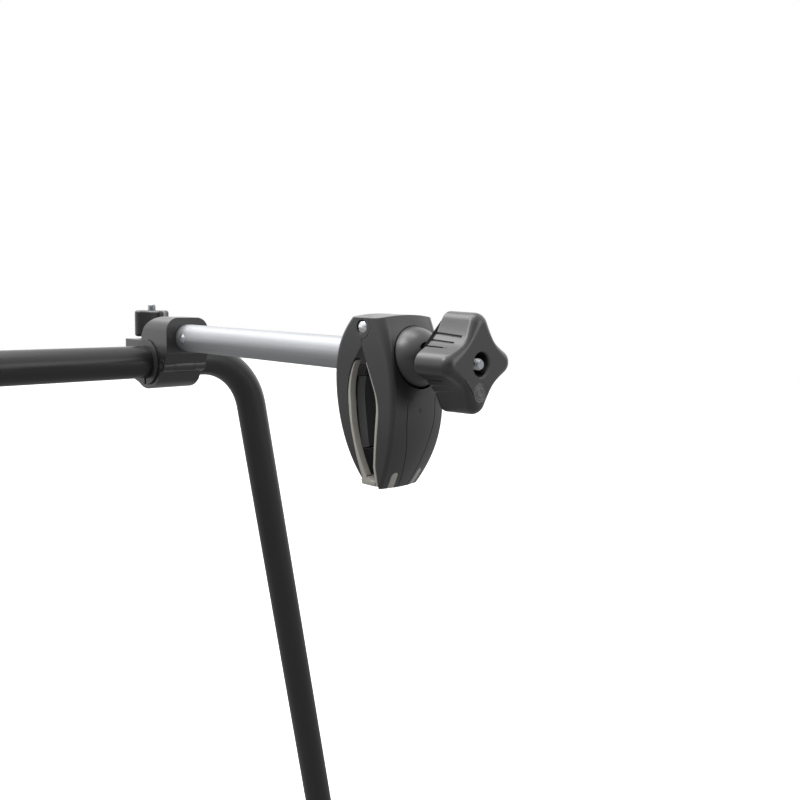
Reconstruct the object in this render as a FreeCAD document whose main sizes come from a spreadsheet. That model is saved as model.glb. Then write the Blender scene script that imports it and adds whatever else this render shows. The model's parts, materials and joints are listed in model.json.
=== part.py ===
"""Bike holder of a towbar carrier: a U-shaped bow, a sliding bow clamp, an arm and a two-jaw head.

Millimetres. Origin midway between the two foot bores, +X along the top of the bow,
-Y towards the bikes, +Z up. The head is drawn about its hinge pin and the bow clamp about
the axis of the bow's top tube; both are then placed in that frame.
"""
import FreeCAD, Part
import math
import os
import re
import Sketcher

SIZES = {
    # U-shaped bow
    "bow_od": (30.0, "bow tube, outside diameter"),
    "bow_wall": (1.5, "bow tube, wall"),
    "bow_height": (560.0, "foot bore axis to top tube axis"),
    "bow_half_top": (203.5, "middle to the sharp corner of the top tube"),
    "bow_bend": (62.0, "centre-line radius of the two bends"),
    "leg_splay": (11.6, "outward lean of each leg, degrees"),
    "foot_run": (16.0, "leg tube beyond the foot bore"),
    "plug_depth": (46.0, "foot plug inside the leg"),
    "plug_cap": (3.0, "foot plug's end cap"),
    "sleeve_bore": (8.2, "foot sleeve, bore"),
    "sleeve_od": (12.0, "foot sleeve, outside diameter"),
    "sleeve_proud": (1.5, "foot sleeve beyond the tube at each side"),
    # Bow clamp
    "arm_side": (116.0, "arm from the bow's middle"),
    "bush_wall": (3.0, "split bush, wall"),
    "bush_slit": (3.0, "split bush, slit"),
    "bush_flange": (3.0, "split bush, flange height"),
    "bush_lip": (1.6, "split bush, flange thickness"),
    "clamp_width": (44.0, "clamp housing and claw, along the bow"),
    "clamp_front": (35.0, "clamp housing in front of the bow axis"),
    "clamp_back": (39.0, "clamp housing behind the bow axis"),
    "clamp_crown": (18.7, "clamp housing above the arm axis"),
    "clamp_edge": (12.0, "clamp housing, rounding of its long upper edges"),
    "ear_top": (20.0, "bolt ear above the bow axis"),
    "ear_slope": (9.5, "foot of the housing's rear slope behind the bow axis"),
    "slope_round": (34.0, "radius of the housing's rear slope"),
    "slope_step": (4.0, "height of the step from the slope to the ear"),
    "slot_play": (2.2, "room in front of the swing bolt in its slots"),
    "slot_side": (0.7, "room on each side of the swing bolt in its slots"),
    "slope_top": (8.75, "head of the housing's rear slope in front of the bow axis"),
    "collar_step": (2.0, "housing's front face below the arm"),
    "claw_part": (1.5, "claw's top face below the bow axis"),
    "claw_hoop": (7.0, "claw's wall round the bush"),
    "claw_pin_front": (25.0, "claw pin in front of the bow axis"),
    "claw_pin_drop": (2.0, "claw pin below the bow axis"),
    "claw_pin_od": (5.0, "claw pin diameter"),
    "claw_knuckle": (6.0, "claw hinge knuckle radius"),
    "claw_tongue": (20.0, "housing's middle knuckle, width"),
    "claw_bevel": (2.0, "bevels of the claw's hinge end"),
    "claw_wall": (3.5, "claw's wall round the bolt's barrel"),
    "claw_from": (50.0, "start of the claw's round in front of its foot, degrees"),
    "claw_to": (35.0, "end of the claw's round behind its foot, degrees"),
    "bolt_back": (28.0, "swing bolt behind the bow axis"),
    "bolt_drop": (8.0, "swing bolt's barrel below the bow axis"),
    "bolt_od": (8.0, "swing bolt diameter"),
    "bolt_top": (53.0, "swing bolt's end above the bow axis"),
    "barrel_od": (10.0, "swing bolt's barrel diameter"),
    "barrel_length": (24.0, "swing bolt's barrel length"),
    "grip_lobe": (5.5, "clamp knob, lobe radius"),
    "grip_lobe_at": (12.0, "clamp knob, lobe centre"),
    "grip_valley": (12.6, "clamp knob, valley radius"),
    "grip_height": (25.0, "clamp knob, height"),
    "grip_edge": (2.5, "clamp knob, edge rounding"),
    "grip_insert_od": (13.0, "clamp knob's insert, outside diameter"),
    "grip_insert_length": (14.0, "clamp knob's insert, length"),
    # Arm
    "arm_od": (25.0, "arm tube, outside diameter"),
    "arm_wall": (1.5, "arm tube, wall"),
    "arm_rise": (23.9, "arm axis above the bow axis"),
    "arm_end": (24.0, "arm tube's end in front of the bow axis"),
    "reach": (297.0, "hinge pin in front of the bow axis"),
    "spigot_length": (40.0, "clamp spigot inside the arm"),
    "spigot_screw_od": (6.0, "spigot screw diameter"),
    "spigot_head_od": (10.0, "arm screw's head, diameter"),
    "screw_seat": (2.0, "arm screw's seat in front of the bow axis"),
    "screw_rise": (2.5, "arm screw's head behind the bow axis"),
    "screw_bevel": (1.0, "bevel of the arm screw's head"),
    "rivet_od": (5.0, "cross rivet diameter"),
    "rivet_back": (22.0, "cross rivet from the arm tube's end"),
    "rivet_brim": (2.0, "rivet head beyond its shank"),
    "rivet_rise": (1.4, "rivet head's height"),
    "plug_length": (24.0, "swivel plug inside the arm"),
    "swivel_screw_od": (6.0, "swivel screw diameter"),
    "swivel_head_od": (11.0, "swivel screw head diameter"),
    # Head, about its hinge pin
    "arm_drop": (21.7, "arm axis below the hinge pin"),
    "socket_floor": (18.0, "arm socket's floor behind the hinge pin"),
    "pin_od": (5.0, "hinge pin diameter"),
    "pin_head_od": (9.2, "hinge pin head diameter"),
    "pin_head_dome": (2.0, "hinge pin head height"),
    "pin_recess": (1.0, "seat of the pin head below the jaw's side"),
    "pin_room": (10.0, "length of the pin seats' cut beyond the jaw"),
    "ear_radius": (8.0, "rear jaw's ear round the pin"),
    "knuckle_radius": (9.2, "front jaw's knuckle round the pin"),
    "knuckle_room": (9.7, "rear jaw's hollow round the front jaw's knuckle"),
    "knuckle_half": (20.0, "half width of the front jaw's knuckle"),
    "jaw_top": (9.0, "jaws' top above the pin, at the middle"),
    "top_crown": (2.5, "crown of the jaws' top, across"),
    "front_bottom": (113.6, "front jaw's end below the pin"),
    "rear_bottom": (108.5, "rear jaw's end below the pin"),
    "jaw_waist": (26.5, "jaw half width at the waist"),
    "waist_level": (55.0, "waist below the pin"),
    "jaw_flare": (1.4, "half width gained from waist to top"),
    "jaw_taper": (7.2, "half width lost from waist to the front jaw's end"),
    "taper_round": (232.0, "radius of the taper seen from the front"),
    "jaw_crown": (2.4, "crown of the outer faces"),
    "corner_radius": (3.0, "jaw's long corners at the bottom"),
    "front_corner_flare": (5.0, "radius gained by the front jaw's corners at the top"),
    "rear_corner_flare": (2.0, "radius gained by the rear jaw's corners at the top"),
    "front_depth": (31.3, "front jaw's outer corner at its widest"),
    "front_widest": (53.5, "widest level of the front jaw"),
    "front_round_up": (144.0, "front jaw's profile radius above its widest level"),
    "front_round_low": (109.0, "front jaw's profile radius below its widest level"),
    "rear_depth": (28.5, "rear jaw's outer corner at its widest"),
    "rear_widest": (32.0, "widest level of the rear jaw"),
    "rear_round_up": (53.0, "rear jaw's profile radius, upper stretch"),
    "rear_round_low": (140.0, "rear jaw's profile radius, lower stretch"),
    "part_gap": (0.3, "gap between the closed jaws"),
    "apex_level": (13.1, "top of the tube opening below the pin"),
    "front_shoulder_level": (42.0, "front edge's shoulder below the pin"),
    "front_belly_level": (60.0, "front edge's widest level below the pin"),
    "front_toe_level": (97.0, "bottom of the front edge's curve below the pin"),
    "front_shoulder": (12.9, "front edge in front of the pin at the shoulder"),
    "front_belly": (16.8, "front edge in front of the pin at its widest"),
    "front_toe": (11.3, "front edge in front of the pin at the bottom"),
    "front_upper_round": (40.0, "radius of the front edge, shoulder to belly"),
    "front_lower_round": (400.0, "radius of the front edge, belly to toe"),
    "rear_shoulder_level": (26.5, "rear edge's shoulder below the pin"),
    "rear_belly_level": (54.0, "rear edge's widest level below the pin"),
    "rear_shoulder": (9.8, "rear edge behind the pin at the shoulder"),
    "rear_belly": (13.9, "rear edge behind the pin at its widest"),
    "rear_toe": (4.0, "rear edge behind the pin at the bottom"),
    "rear_upper_round": (50.0, "radius of the rear edge, shoulder to belly"),
    "rear_lower_round": (500.0, "radius of the rear edge, belly to toe"),
    "end_wall": (5.5, "jaw's end walls and lips, across"),
    "lip_top": (25.0, "lips' upper end below the pin"),
    "lip_height": (3.0, "lips' height on the jaw's edge"),
    "lip_bottom": (112.5, "lips' lower end below the pin"),
    "lip_bridge": (105.5, "level where the lips close below the pin"),
    "lip_heel": (1.6, "heel of the rear lip behind the rear edge"),
    "tongue_top": (109.0, "top of the rear lip's tongue below the pin"),
    "tongue_root": (103.5, "level where the rear lip turns into its tongue"),
    "tongue_behind": (0.3, "rear lip's crest behind the pin at the tongue's root"),
    "tongue_ahead": (6.0, "tongue's turn ends this far in front of the pin"),
    "tongue_round": (7.1, "radius of the turn into the tongue"),
    "crest_round": (168.0, "radius of the rear lip's crest above the tongue"),
    "jaw_wall": (3.2, "jaw's outer wall behind the pads"),
    "front_pad_top": (46.0, "front pad's upper end below the pin"),
    "band_top": (24.0, "top of the pads' rooms before they are cut to height"),
    "rear_pad_top": (35.0, "rear pad's upper end below the pin"),
    "front_pad_bottom": (98.0, "front pad's lower end below the pin"),
    "rear_pad_bottom": (88.0, "rear pad's lower end below the pin"),
    "pad_setback": (2.2, "pad face behind the jaw's edge"),
    "rib_height": (2.0, "pad ribs' height"),
    "rib_width": (7.0, "pad ribs' width"),
    "rib_side": (12.5, "pad ribs from the middle"),
    # Tension rod, dome and knob
    "rod_drop": (21.0, "rod axis below the hinge pin"),
    "rod_od": (8.0, "rod diameter"),
    "rod_end": (84.0, "rod's outer end in front of the pin"),
    "trunnion_back": (8.5, "rod's barrel behind the pin"),
    "trunnion_od": (9.0, "rod's barrel diameter"),
    "trunnion_length": (23.0, "rod's barrel length"),
    "rod_slot": (9.2, "width of the rod's slots"),
    "swing_up": (32.0, "upward room for the rod, degrees"),
    "slot_top": (8.5, "dome slot's upper end below the pin"),
    "slot_bottom": (31.0, "dome slot's lower end below the pin"),
    "slot_past": (1.0, "dome slot past the parting plane"),
    "dome_reach": (22.5, "ball of the dome, half depth and half width"),
    "dome_half_height": (23.0, "ball of the dome, half height"),
    "dome_centre": (22.5, "ball's centre in front of the pin"),
    "dome_low": (0.5, "ball's centre below the rod"),
    "dome_root": (17.0, "dome's flat back in front of the pin"),
    "dome_seat": (44.5, "dome's flat seat in front of the pin"),
    "washer_od": (17.0, "thrust washer diameter"),
    "washer_height": (2.0, "thrust washer thickness"),
    "seat_gap": (0.3, "thrust washer to dome"),
    "boss_od": (20.0, "knob's rear boss diameter"),
    "knob_back": (55.3, "knob's back in front of the pin"),
    "knob_front": (84.7, "knob's front in front of the pin"),
    "knob_lobe": (9.3, "knob, lobe radius"),
    "knob_lobe_at": (24.6, "knob, lobe centre"),
    "knob_valley": (24.5, "knob, valley radius"),
    "knob_edge": (7.2, "knob, rounding of the front edge"),
    "knob_rear_edge": (2.0, "knob, rounding of the rear edge"),
    "knob_bore": (15.0, "knob's front hole diameter"),
    "knob_chamfer": (1.5, "chamfer of the front hole"),
    "knob_hollow_in": (12.0, "knob's rear hollow, inner radius"),
    "knob_hollow_out": (19.5, "knob's rear hollow, outer radius"),
    "knob_hollow_depth": (18.0, "knob's rear hollow, depth"),
    "insert_od": (14.0, "knob insert, outside diameter"),
    "insert_length": (16.0, "knob insert, length"),
    "insert_recess": (4.0, "knob insert inside its boss"),
    "disc_od": (13.8, "plain disc in the knob's front"),
    "disc_drop": (18.5, "plain disc below the knob's axis"),
    "disc_depth": (1.2, "plain disc thickness"),
    "grip_groove": (1.8, "grip groove width"),
    "groove_first": (20.0, "longest grip groove"),
    "groove_step": (3.0, "each next grip groove is shorter by this"),
    "groove_side": (2.8, "grip grooves' shift across the valley"),
    "groove_pitch": (6.4, "grip groove spacing"),
    # Lip clips on the front jaw
    "clip_side": (12.5, "lip clip from the middle"),
    "clip_foot": (10.5, "lip clip from the middle at the jaw's end"),
    "clip_width": (5.6, "lip clip width"),
    "clip_top": (101.0, "lip clip's upper end below the pin"),
    "clip_depth": (1.6, "lip clip recess in the outer wall"),
    "seam_depth": (0.5, "panel seams in the outer wall"),
    "seam_width": (0.7, "panel seams' width"),
    "seam_top": (48.0, "panel seams' upper end below the pin"),
    "seam_bend": (66.0, "level where the panel seams start to converge"),
    "seam_side": (14.0, "panel seams from the middle, upper stretch"),
    "seam_foot": (4.2, "panel seams from the middle at the jaw's end"),
    # Fits
    "slip": (0.05, "radial running clearance"),
    "free": (0.3, "clearance of loose parts"),
}

DERIVED = {
    "bow_r": "bow_od / 2",
    "bow_bore_r": "bow_r - bow_wall",
    "bend_turn": "90 - leg_splay",
    "bend_tangent": "bow_bend * tan(bend_turn / 2)",
    "foot_side": "bow_half_top + bow_height * tan(leg_splay)",
    "leg_end_x": "foot_side + foot_run * sin(leg_splay)",
    "leg_end_z": "-foot_run * cos(leg_splay)",
    "bush_bore_r": "bow_r + slip",
    "bush_r": "bow_r + bush_wall",
    "seat_r": "bush_r + slip",
    "clamp_half": "clamp_width / 2",
    "clamp_top": "arm_rise + clamp_crown",
    "arm_r": "arm_od / 2",
    "arm_bore_r": "arm_r - arm_wall",
    "rod_r": "rod_od / 2",
    "knob_reach": "(knob_lobe_at ^ 2 - (knob_lobe - knob_valley) ^ 2)"
                  " / (2 * (knob_lobe - knob_valley) + sqrt(2) * knob_lobe_at)",
    "grip_reach": "(grip_lobe_at ^ 2 - (grip_lobe - grip_valley) ^ 2)"
                  " / (2 * (grip_lobe - grip_valley) + sqrt(2) * grip_lobe_at)",
    "half_gap": "part_gap / 2",
    "rear_toe_level": "rear_bottom + slip",
    "top_half": "jaw_waist + jaw_flare",
    "top_round": "(top_half ^ 2 + top_crown ^ 2) / (2 * top_crown)",
    "bolt_heel": "sqrt(barrel_r ^ 2 - (bolt_od / 2) ^ 2) - free",
    "rod_heel": "sqrt((trunnion_od / 2) ^ 2 - rod_r ^ 2) - free",
    "washer_back": "dome_seat + seat_gap",
    "washer_front": "washer_back + washer_height",
    "boss_start": "washer_front + slip * 2",
    "insert_start": "boss_start + insert_recess",
    "barrel_r": "barrel_od / 2",
    "grip_base": "ear_top + seat_gap + washer_height + slip * 2",
}

ROW = ("0", "0", "0")
CLAMP = ("arm_side", "0", "bow_height")
HEAD = ("arm_side", "-reach", "bow_height + arm_rise + arm_drop")

doc = FreeCAD.newDocument("BikeHolder")
sheet = doc.addObject("Spreadsheet::Sheet", "Sizes")
NODES = {}


def bind(text):
    """Expression text with each size read from the sheet and each derived size spelt out."""
    def swap(match):
        word = match.group(0)
        if word in SIZES:
            return "Sizes." + word
        if word in DERIVED:
            return "(" + bind(DERIVED[word]) + ")"
        return word
    return re.sub(r"[A-Za-z_]+", swap, text)


def value(text):
    """Number that an expression stands for."""
    return float(sheet.evalExpression(bind(text)))


def fill_sheet():
    for row, (alias, (number, note)) in enumerate(SIZES.items(), start=1):
        sheet.set(f"A{row}", str(number))
        sheet.setAlias(f"A{row}", alias)
        sheet.set(f"B{row}", note)
    doc.recompute()


def place(item, spot):
    """Bind an object's position to three expressions."""
    for axis, text in zip("xyz", spot):
        item.setExpression(f"Placement.Base.{axis}", bind(text))


def node(name, item, spot):
    """Name a finished sub-part and put it in its place."""
    item.Label = name
    place(item, spot)
    NODES[name] = item
    return item


PLANES = {
    "XY": FreeCAD.Rotation(),
    "XZ": FreeCAD.Rotation(FreeCAD.Vector(1, 0, 0), 90),
    "YZ": FreeCAD.Rotation(FreeCAD.Vector(1, 1, 1), 120),
}


def sketch_on(plane, name, body=None, level="0"):
    """Sketch on a plane; level shifts it along +Z, -Y or +X for XY, XZ or YZ."""
    if body is None:
        sketch = doc.addObject("Sketcher::SketchObject", name)
        sketch.Placement = FreeCAD.Placement(FreeCAD.Vector(), PLANES[plane])
        axis, sign = {"XY": ("z", ""), "XZ": ("y", "-"), "YZ": ("x", "")}[plane]
        sketch.setExpression(f"Placement.Base.{axis}", f"{sign}({bind(level)})")
        return sketch
    sketch = body.newObject("Sketcher::SketchObject", name)
    base = [item for item in body.Origin.OriginFeatures if item.Role == plane + "_Plane"][0]
    sketch.AttachmentSupport = [(base, "")]
    sketch.MapMode = "FlatFace"
    sketch.setExpression("AttachmentOffset.Base.z", bind(level))
    return sketch


def pin_point(sketch, geometry, end, across, up):
    """Bind one point of a sketch to two expressions."""
    for kind, text in (("DistanceX", across), ("DistanceY", up)):
        index = sketch.addConstraint(
            Sketcher.Constraint(kind, -1, 1, geometry, end, value(text)))
        sketch.setExpression(f"Constraints[{index}]", bind(text))


def short_arc(start, end, radius, bulge):
    """Arc between two points that bulges to the right of travel for 1, to the left for -1."""
    chord = end - start
    half = chord.Length / 2
    left = FreeCAD.Vector(-chord.y, chord.x, 0).normalize()
    centre = (start + end) * 0.5 + left * (bulge * math.sqrt(max(radius ** 2 - half ** 2, 0)))
    first, last = (start, end) if bulge > 0 else (end, start)
    angles = [math.atan2(spot.y - centre.y, spot.x - centre.x) for spot in (first, last)]
    if angles[1] < angles[0]:
        angles[1] += 2 * math.pi
    round_line = Part.Circle(centre, FreeCAD.Vector(0, 0, 1), radius)
    return Part.ArcOfCircle(round_line, *angles)


def outline(sketch, points, closed=True):
    """Chain of lines and arcs; (across, up) ends a line, (across, up, radius, bulge) an arc."""
    spots = [FreeCAD.Vector(value(point[0]), value(point[1]), 0) for point in points]
    first = 0 if closed else 1
    ends = []
    for index in range(first, len(points)):
        start, end, point = spots[index - 1], spots[index], points[index]
        if len(point) == 2:
            curve = Part.LineSegment(start, end)
        else:
            curve = short_arc(start, end, value(point[2]), point[3])
        number = sketch.addGeometry(curve, False)
        stored = sketch.Geometry[number]
        forward = stored.StartPoint.distanceToPoint(start) < stored.EndPoint.distanceToPoint(start)
        head, tail = (1, 2) if forward else (2, 1)
        if ends:
            sketch.addConstraint(Sketcher.Constraint("Coincident", *ends[-1][1], number, head))
        ends.append(((number, head), (number, tail)))
        if len(point) > 2:
            limit = sketch.addConstraint(Sketcher.Constraint("Radius", number, value(point[2])))
            sketch.setExpression(f"Constraints[{limit}]", bind(point[2]))
        pin_point(sketch, number, tail, point[0], point[1])
    if closed:
        sketch.addConstraint(Sketcher.Constraint("Coincident", *ends[-1][1], *ends[0][0]))
    else:
        pin_point(sketch, *ends[0][0], points[0][0], points[0][1])
    return sketch


def circle(sketch, across, up, radius):
    centre = FreeCAD.Vector(value(across), value(up), 0)
    number = sketch.addGeometry(Part.Circle(centre, FreeCAD.Vector(0, 0, 1), value(radius)), False)
    limit = sketch.addConstraint(Sketcher.Constraint("Radius", number, value(radius)))
    sketch.setExpression(f"Constraints[{limit}]", bind(radius))
    pin_point(sketch, number, 3, across, up)
    return sketch


def box_points(left, right, low, high):
    return [(left, low), (right, low), (right, high), (left, high)]


def body_named(name):
    return doc.addObject("PartDesign::Body", name)


def sweep_length(feature, length, symmetric, away):
    feature.setExpression("Length", bind(length))
    feature.Midplane = symmetric
    feature.Reversed = away


def pad(body, sketch, length, symmetric=True, away=False):
    feature = body.newObject("PartDesign::Pad", sketch.Name + "Pad")
    feature.Profile = sketch
    sweep_length(feature, length, symmetric, away)
    return grown(body, feature)


def pocket(body, sketch, length, symmetric=True, away=False):
    """Cut a pocket, and check that it took material away."""
    before = body.Shape.Volume
    feature = body.newObject("PartDesign::Pocket", sketch.Name + "Pocket")
    feature.Profile = sketch
    sweep_length(feature, length, symmetric, away)
    grown(body, feature)
    if body.Shape.Volume > before - 1e-3:
        raise RuntimeError(f"{sketch.Name} cuts nothing")
    return feature


def revolve(body, sketch, axis):
    feature = body.newObject("PartDesign::Revolution", sketch.Name + "Turn")
    feature.Profile = sketch
    feature.ReferenceAxis = (sketch, [axis])
    feature.Angle = 360
    return grown(body, feature)


def groove(body, sketch, axis):
    feature = body.newObject("PartDesign::Groove", sketch.Name + "Cut")
    feature.Profile = sketch
    feature.ReferenceAxis = (sketch, [axis])
    feature.Angle = 360
    return grown(body, feature)


def round_edges(body, radius, wanted, name):
    """Round the edges of a body that a test picks."""
    doc.recompute()
    tip = body.Tip
    names = [f"Edge{number}" for number, edge in enumerate(tip.Shape.Edges, start=1)
             if wanted(edge)]
    feature = body.newObject("PartDesign::Fillet", name)
    feature.Base = (tip, names)
    feature.setExpression("Radius", bind(radius))
    return grown(body, feature)


def prism(name, plane, points, length, level="0", symmetric=True):
    """Straight solid over an outline; symmetric, or towards the plane's normal from level."""
    sketch = outline(sketch_on(plane, name + "Outline", level=level), points)
    solid = doc.addObject("Part::Extrusion", name)
    solid.Base = sketch
    solid.DirMode = "Normal"
    solid.Solid = True
    solid.Symmetric = symmetric
    solid.setExpression("LengthFwd", bind(length))
    return solid


TURNS = {
    "X": FreeCAD.Rotation(FreeCAD.Vector(0, 1, 0), 90),
    "Y": FreeCAD.Rotation(FreeCAD.Vector(1, 0, 0), -90),
    "Z": FreeCAD.Rotation(),
}


def bar(name, axis, radius, length, start):
    """Round bar along an axis from its start point."""
    solid = doc.addObject("Part::Cylinder", name)
    solid.Placement = FreeCAD.Placement(FreeCAD.Vector(), TURNS[axis])
    solid.setExpression("Radius", bind(radius))
    solid.setExpression("Height", bind(length))
    place(solid, start)
    return solid


def block(name, size, corner):
    """Plain block, used to cut room for a neighbour."""
    solid = doc.addObject("Part::Box", name)
    for side, text in zip(("Length", "Width", "Height"), size):
        solid.setExpression(side, bind(text))
    place(solid, corner)
    return solid


def grown(body, feature):
    """Make a new feature the body's last one, and check it."""
    body.Tip = feature
    return sound(feature)


def sound(item):
    """The same object, once it is known to have a valid solid."""
    doc.recompute()
    bad = [state for state in item.State if state in ("Invalid", "Error")]
    if bad or item.Shape.isNull() or not item.Shape.isValid() or not item.Shape.Solids:
        raise RuntimeError(f"{item.Name} has no valid solid: {item.State}")
    return item


def cut(name, base, tools):
    """Base less its tools; each tool has to reach the base."""
    sound(base)
    for number, tool in enumerate(tools):
        result = doc.addObject("Part::Cut", f"{name}{number}")
        result.Base = base
        result.Tool = sound(tool)
        result.Refine = False
        sound(result)
        if result.Shape.Volume > base.Shape.Volume - 1e-3:
            raise RuntimeError(f"{tool.Name} does not reach {base.Name}")
        base = result
    return base


def fuse(name, items):
    result = doc.addObject("Part::MultiFuse", name)
    result.Shapes = items
    result.Refine = False
    return sound(result)


def common(name, first, second):
    result = doc.addObject("Part::Common", name)
    result.Base = first
    result.Tool = second
    result.Refine = False
    return sound(result)


def carve(name, blank, added, tools):
    """Lofted blank with round parts added and rooms cut out, joined without a fuzzy margin."""
    shape = blank.Shape.fuse(sound(added).Shape)
    for tool in tools:
        left = shape.cut(sound(tool).Shape)
        if left.Volume > shape.Volume - 1e-3:
            raise RuntimeError(f"{tool.Name} does not reach {name}")
        shape = left
    result = doc.addObject("Part::Feature", name)
    result.Shape = shape
    return sound(result)


def turned(name, points, axis="Y"):
    """Turned body: (along, radius) points about X, Y or Z."""
    body = body_named(name)
    if axis == "Z":
        sketch = sketch_on("XZ", name + "Half", body)
        outline(sketch, [(radius, along) for along, radius in points])
        revolve(body, sketch, "V_Axis")
    elif axis == "X":
        sketch = sketch_on("XZ", name + "Half", body)
        outline(sketch, points)
        revolve(body, sketch, "H_Axis")
    else:
        sketch = sketch_on("YZ", name + "Half", body)
        outline(sketch, points)
        revolve(body, sketch, "H_Axis")
    return body


# U-shaped bow

def make_bow():
    body = body_named("Bow")
    ring = sketch_on("YZ", "BowSection", body)
    circle(ring, "0", "bow_height", "bow_r")
    circle(ring, "0", "bow_height", "bow_bore_r")
    run = sketch_on("XZ", "BowRun", body)
    outline(run, [
        ("0", "bow_height"),
        ("bow_half_top - bend_tangent", "bow_height"),
        ("bow_half_top + bend_tangent * sin(leg_splay)",
         "bow_height - bend_tangent * cos(leg_splay)", "bow_bend", -1),
        ("leg_end_x", "leg_end_z"),
    ], closed=False)
    half = body.newObject("PartDesign::AdditivePipe", "BowHalf")
    half.Profile = ring
    half.Spine = (run, [f"Edge{number}" for number in (1, 2, 3)])
    doc.recompute()
    whole = body.newObject("PartDesign::Mirrored", "BowWhole")
    whole.Originals = [half]
    middle = [item for item in body.Origin.OriginFeatures if item.Role == "YZ_Plane"][0]
    whole.MirrorPlane = (middle, [""])
    body.Tip = whole
    doc.recompute()
    bore = circle(sketch_on("YZ", "FootBores", body), "0", "0", "sleeve_od / 2")
    pocket(body, bore, "2 * foot_side + 4 * bow_od")
    node("bow_tube", body, ROW)


def make_foot(side, sign):
    """Plug that closes a leg's end, and the steel sleeve across it."""
    lean = f"{'-' if sign > 0 else ''}leg_splay"
    shank = bar(side + "Shank", "Z", "bow_bore_r", "plug_depth", ("0", "0", "-foot_run"))
    cap = bar(side + "Cap", "Z", "bow_r", "plug_cap", ("0", "0", "-foot_run - plug_cap"))
    plug = fuse(side + "Plug", [shank, cap])
    plug.Placement = FreeCAD.Placement(
        FreeCAD.Vector(), FreeCAD.Rotation(FreeCAD.Vector(0, 1, 0), 0))
    plug.setExpression("Placement.Rotation.Angle", bind(lean))
    hole = bar(side + "Hole", "X", "sleeve_od / 2", "3 * bow_od", ("-1.5 * bow_od", "0", "0"))
    foot_x = ("" if sign > 0 else "-") + "foot_side"
    node(f"{side}_foot_plug", cut(side + "BoredPlug", plug, [hole]), (foot_x, "0", "0"))
    length = "bow_od / cos(leg_splay) + 2 * sleeve_proud"
    outer = bar(side + "Outer", "X", "sleeve_od / 2", length, (f"-({length}) / 2", "0", "0"))
    inner = bar(side + "Inner", "X", "sleeve_bore / 2", f"{length} + 2",
                (f"-({length}) / 2 - 1", "0", "0"))
    node(f"{side}_foot_sleeve", cut(side + "Sleeve", outer, [inner]), (foot_x, "0", "0"))


# Bow clamp, about the axis of the bow's top tube

def make_bush():
    """Split bush that slides on the bow and turns inside the clamp."""
    edge = "clamp_half + free"
    body = turned("BowBush", [
        (f"-({edge} + bush_lip)", "bush_bore_r"),
        (f"{edge} + bush_lip", "bush_bore_r"),
        (f"{edge} + bush_lip", "bush_r + bush_flange"),
        (edge, "bush_r + bush_flange"),
        (edge, "bush_r"),
        (f"-({edge})", "bush_r"),
        (f"-({edge})", "bush_r + bush_flange"),
        (f"-({edge} + bush_lip)", "bush_r + bush_flange"),
    ], axis="X")
    slit = outline(sketch_on("XY", "BushSlit", body), box_points(
        f"-({edge} + 2 * bush_lip)", f"{edge} + 2 * bush_lip", "-bush_slit / 2", "bush_slit / 2"))
    pocket(body, slit, "2 * bush_r", symmetric=False, away=False)
    node("bow_bush", body, CLAMP)


def make_housing():
    """Upper half of the bow clamp, with the arm's collar, the bolt ear and a middle knuckle."""
    side = prism("HousingSide", "YZ", [
        ("-sqrt(seat_r ^ 2 - half_gap ^ 2)", "half_gap", "seat_r", 1),
        ("-claw_pin_front - claw_knuckle", "half_gap"),
        ("-clamp_front", "arm_rise - arm_r - collar_step"),
        ("-clamp_front", "clamp_top"),
        ("-slope_top", "clamp_top"),
        ("ear_slope", "ear_top + slope_step", "slope_round", -1),
        ("ear_slope", "ear_top"),
        ("clamp_back", "ear_top"),
        ("clamp_back", "half_gap"),
        ("sqrt(seat_r ^ 2 - half_gap ^ 2)", "half_gap"),
    ], "clamp_width")
    front = prism("HousingFront", "XZ", [
        ("-clamp_half", "0"),
        ("clamp_half", "0"),
        ("clamp_half", "clamp_top - clamp_edge"),
        ("clamp_half - clamp_edge", "clamp_top", "clamp_edge", 1),
        ("-clamp_half + clamp_edge", "clamp_top"),
        ("-clamp_half", "clamp_top - clamp_edge", "clamp_edge", 1),
    ], "4 * clamp_back")
    knuckle = bar("HousingKnuckle", "X", "claw_knuckle", "claw_tongue",
                  ("-claw_tongue / 2", "-claw_pin_front", "-claw_pin_drop"))
    body = fuse("HousingWhole", [common("HousingBlock", side, front), knuckle])
    tools = [
        bar("HousingArmSocket", "Y", "arm_r", "clamp_front", ("0", "-clamp_front - arm_end", "arm_rise")),
        bar("HousingScrewHole", "Y", "spigot_screw_od / 2", "2 * clamp_front",
            ("0", "-clamp_front", "arm_rise")),
        bar("HousingScrewSeat", "Y", "spigot_screw_od", "clamp_back",
            ("0", "-screw_seat", "arm_rise")),
        bar("HousingPinHole", "X", "claw_pin_od / 2 + slip", "clamp_width",
            ("-clamp_half", "-claw_pin_front", "-claw_pin_drop")),
        bar("HousingKnuckleRoomLeft", "X", "claw_knuckle + free", "clamp_half - claw_tongue / 2",
            ("-clamp_half", "-claw_pin_front", "-claw_pin_drop")),
        bar("HousingKnuckleRoomRight", "X", "claw_knuckle + free", "clamp_half - claw_tongue / 2",
            ("claw_tongue / 2", "-claw_pin_front", "-claw_pin_drop")),
        block("HousingBoltSlot", ("(bolt_od + 2 * slot_side)", "clamp_back", "3 * ear_top"),
              ("-bolt_od / 2 - slot_side", "bolt_back - bolt_od / 2 - slot_play", "-ear_top")),
    ]
    node("clamp_housing", cut("HousingCut", body, tools), CLAMP)


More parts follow.
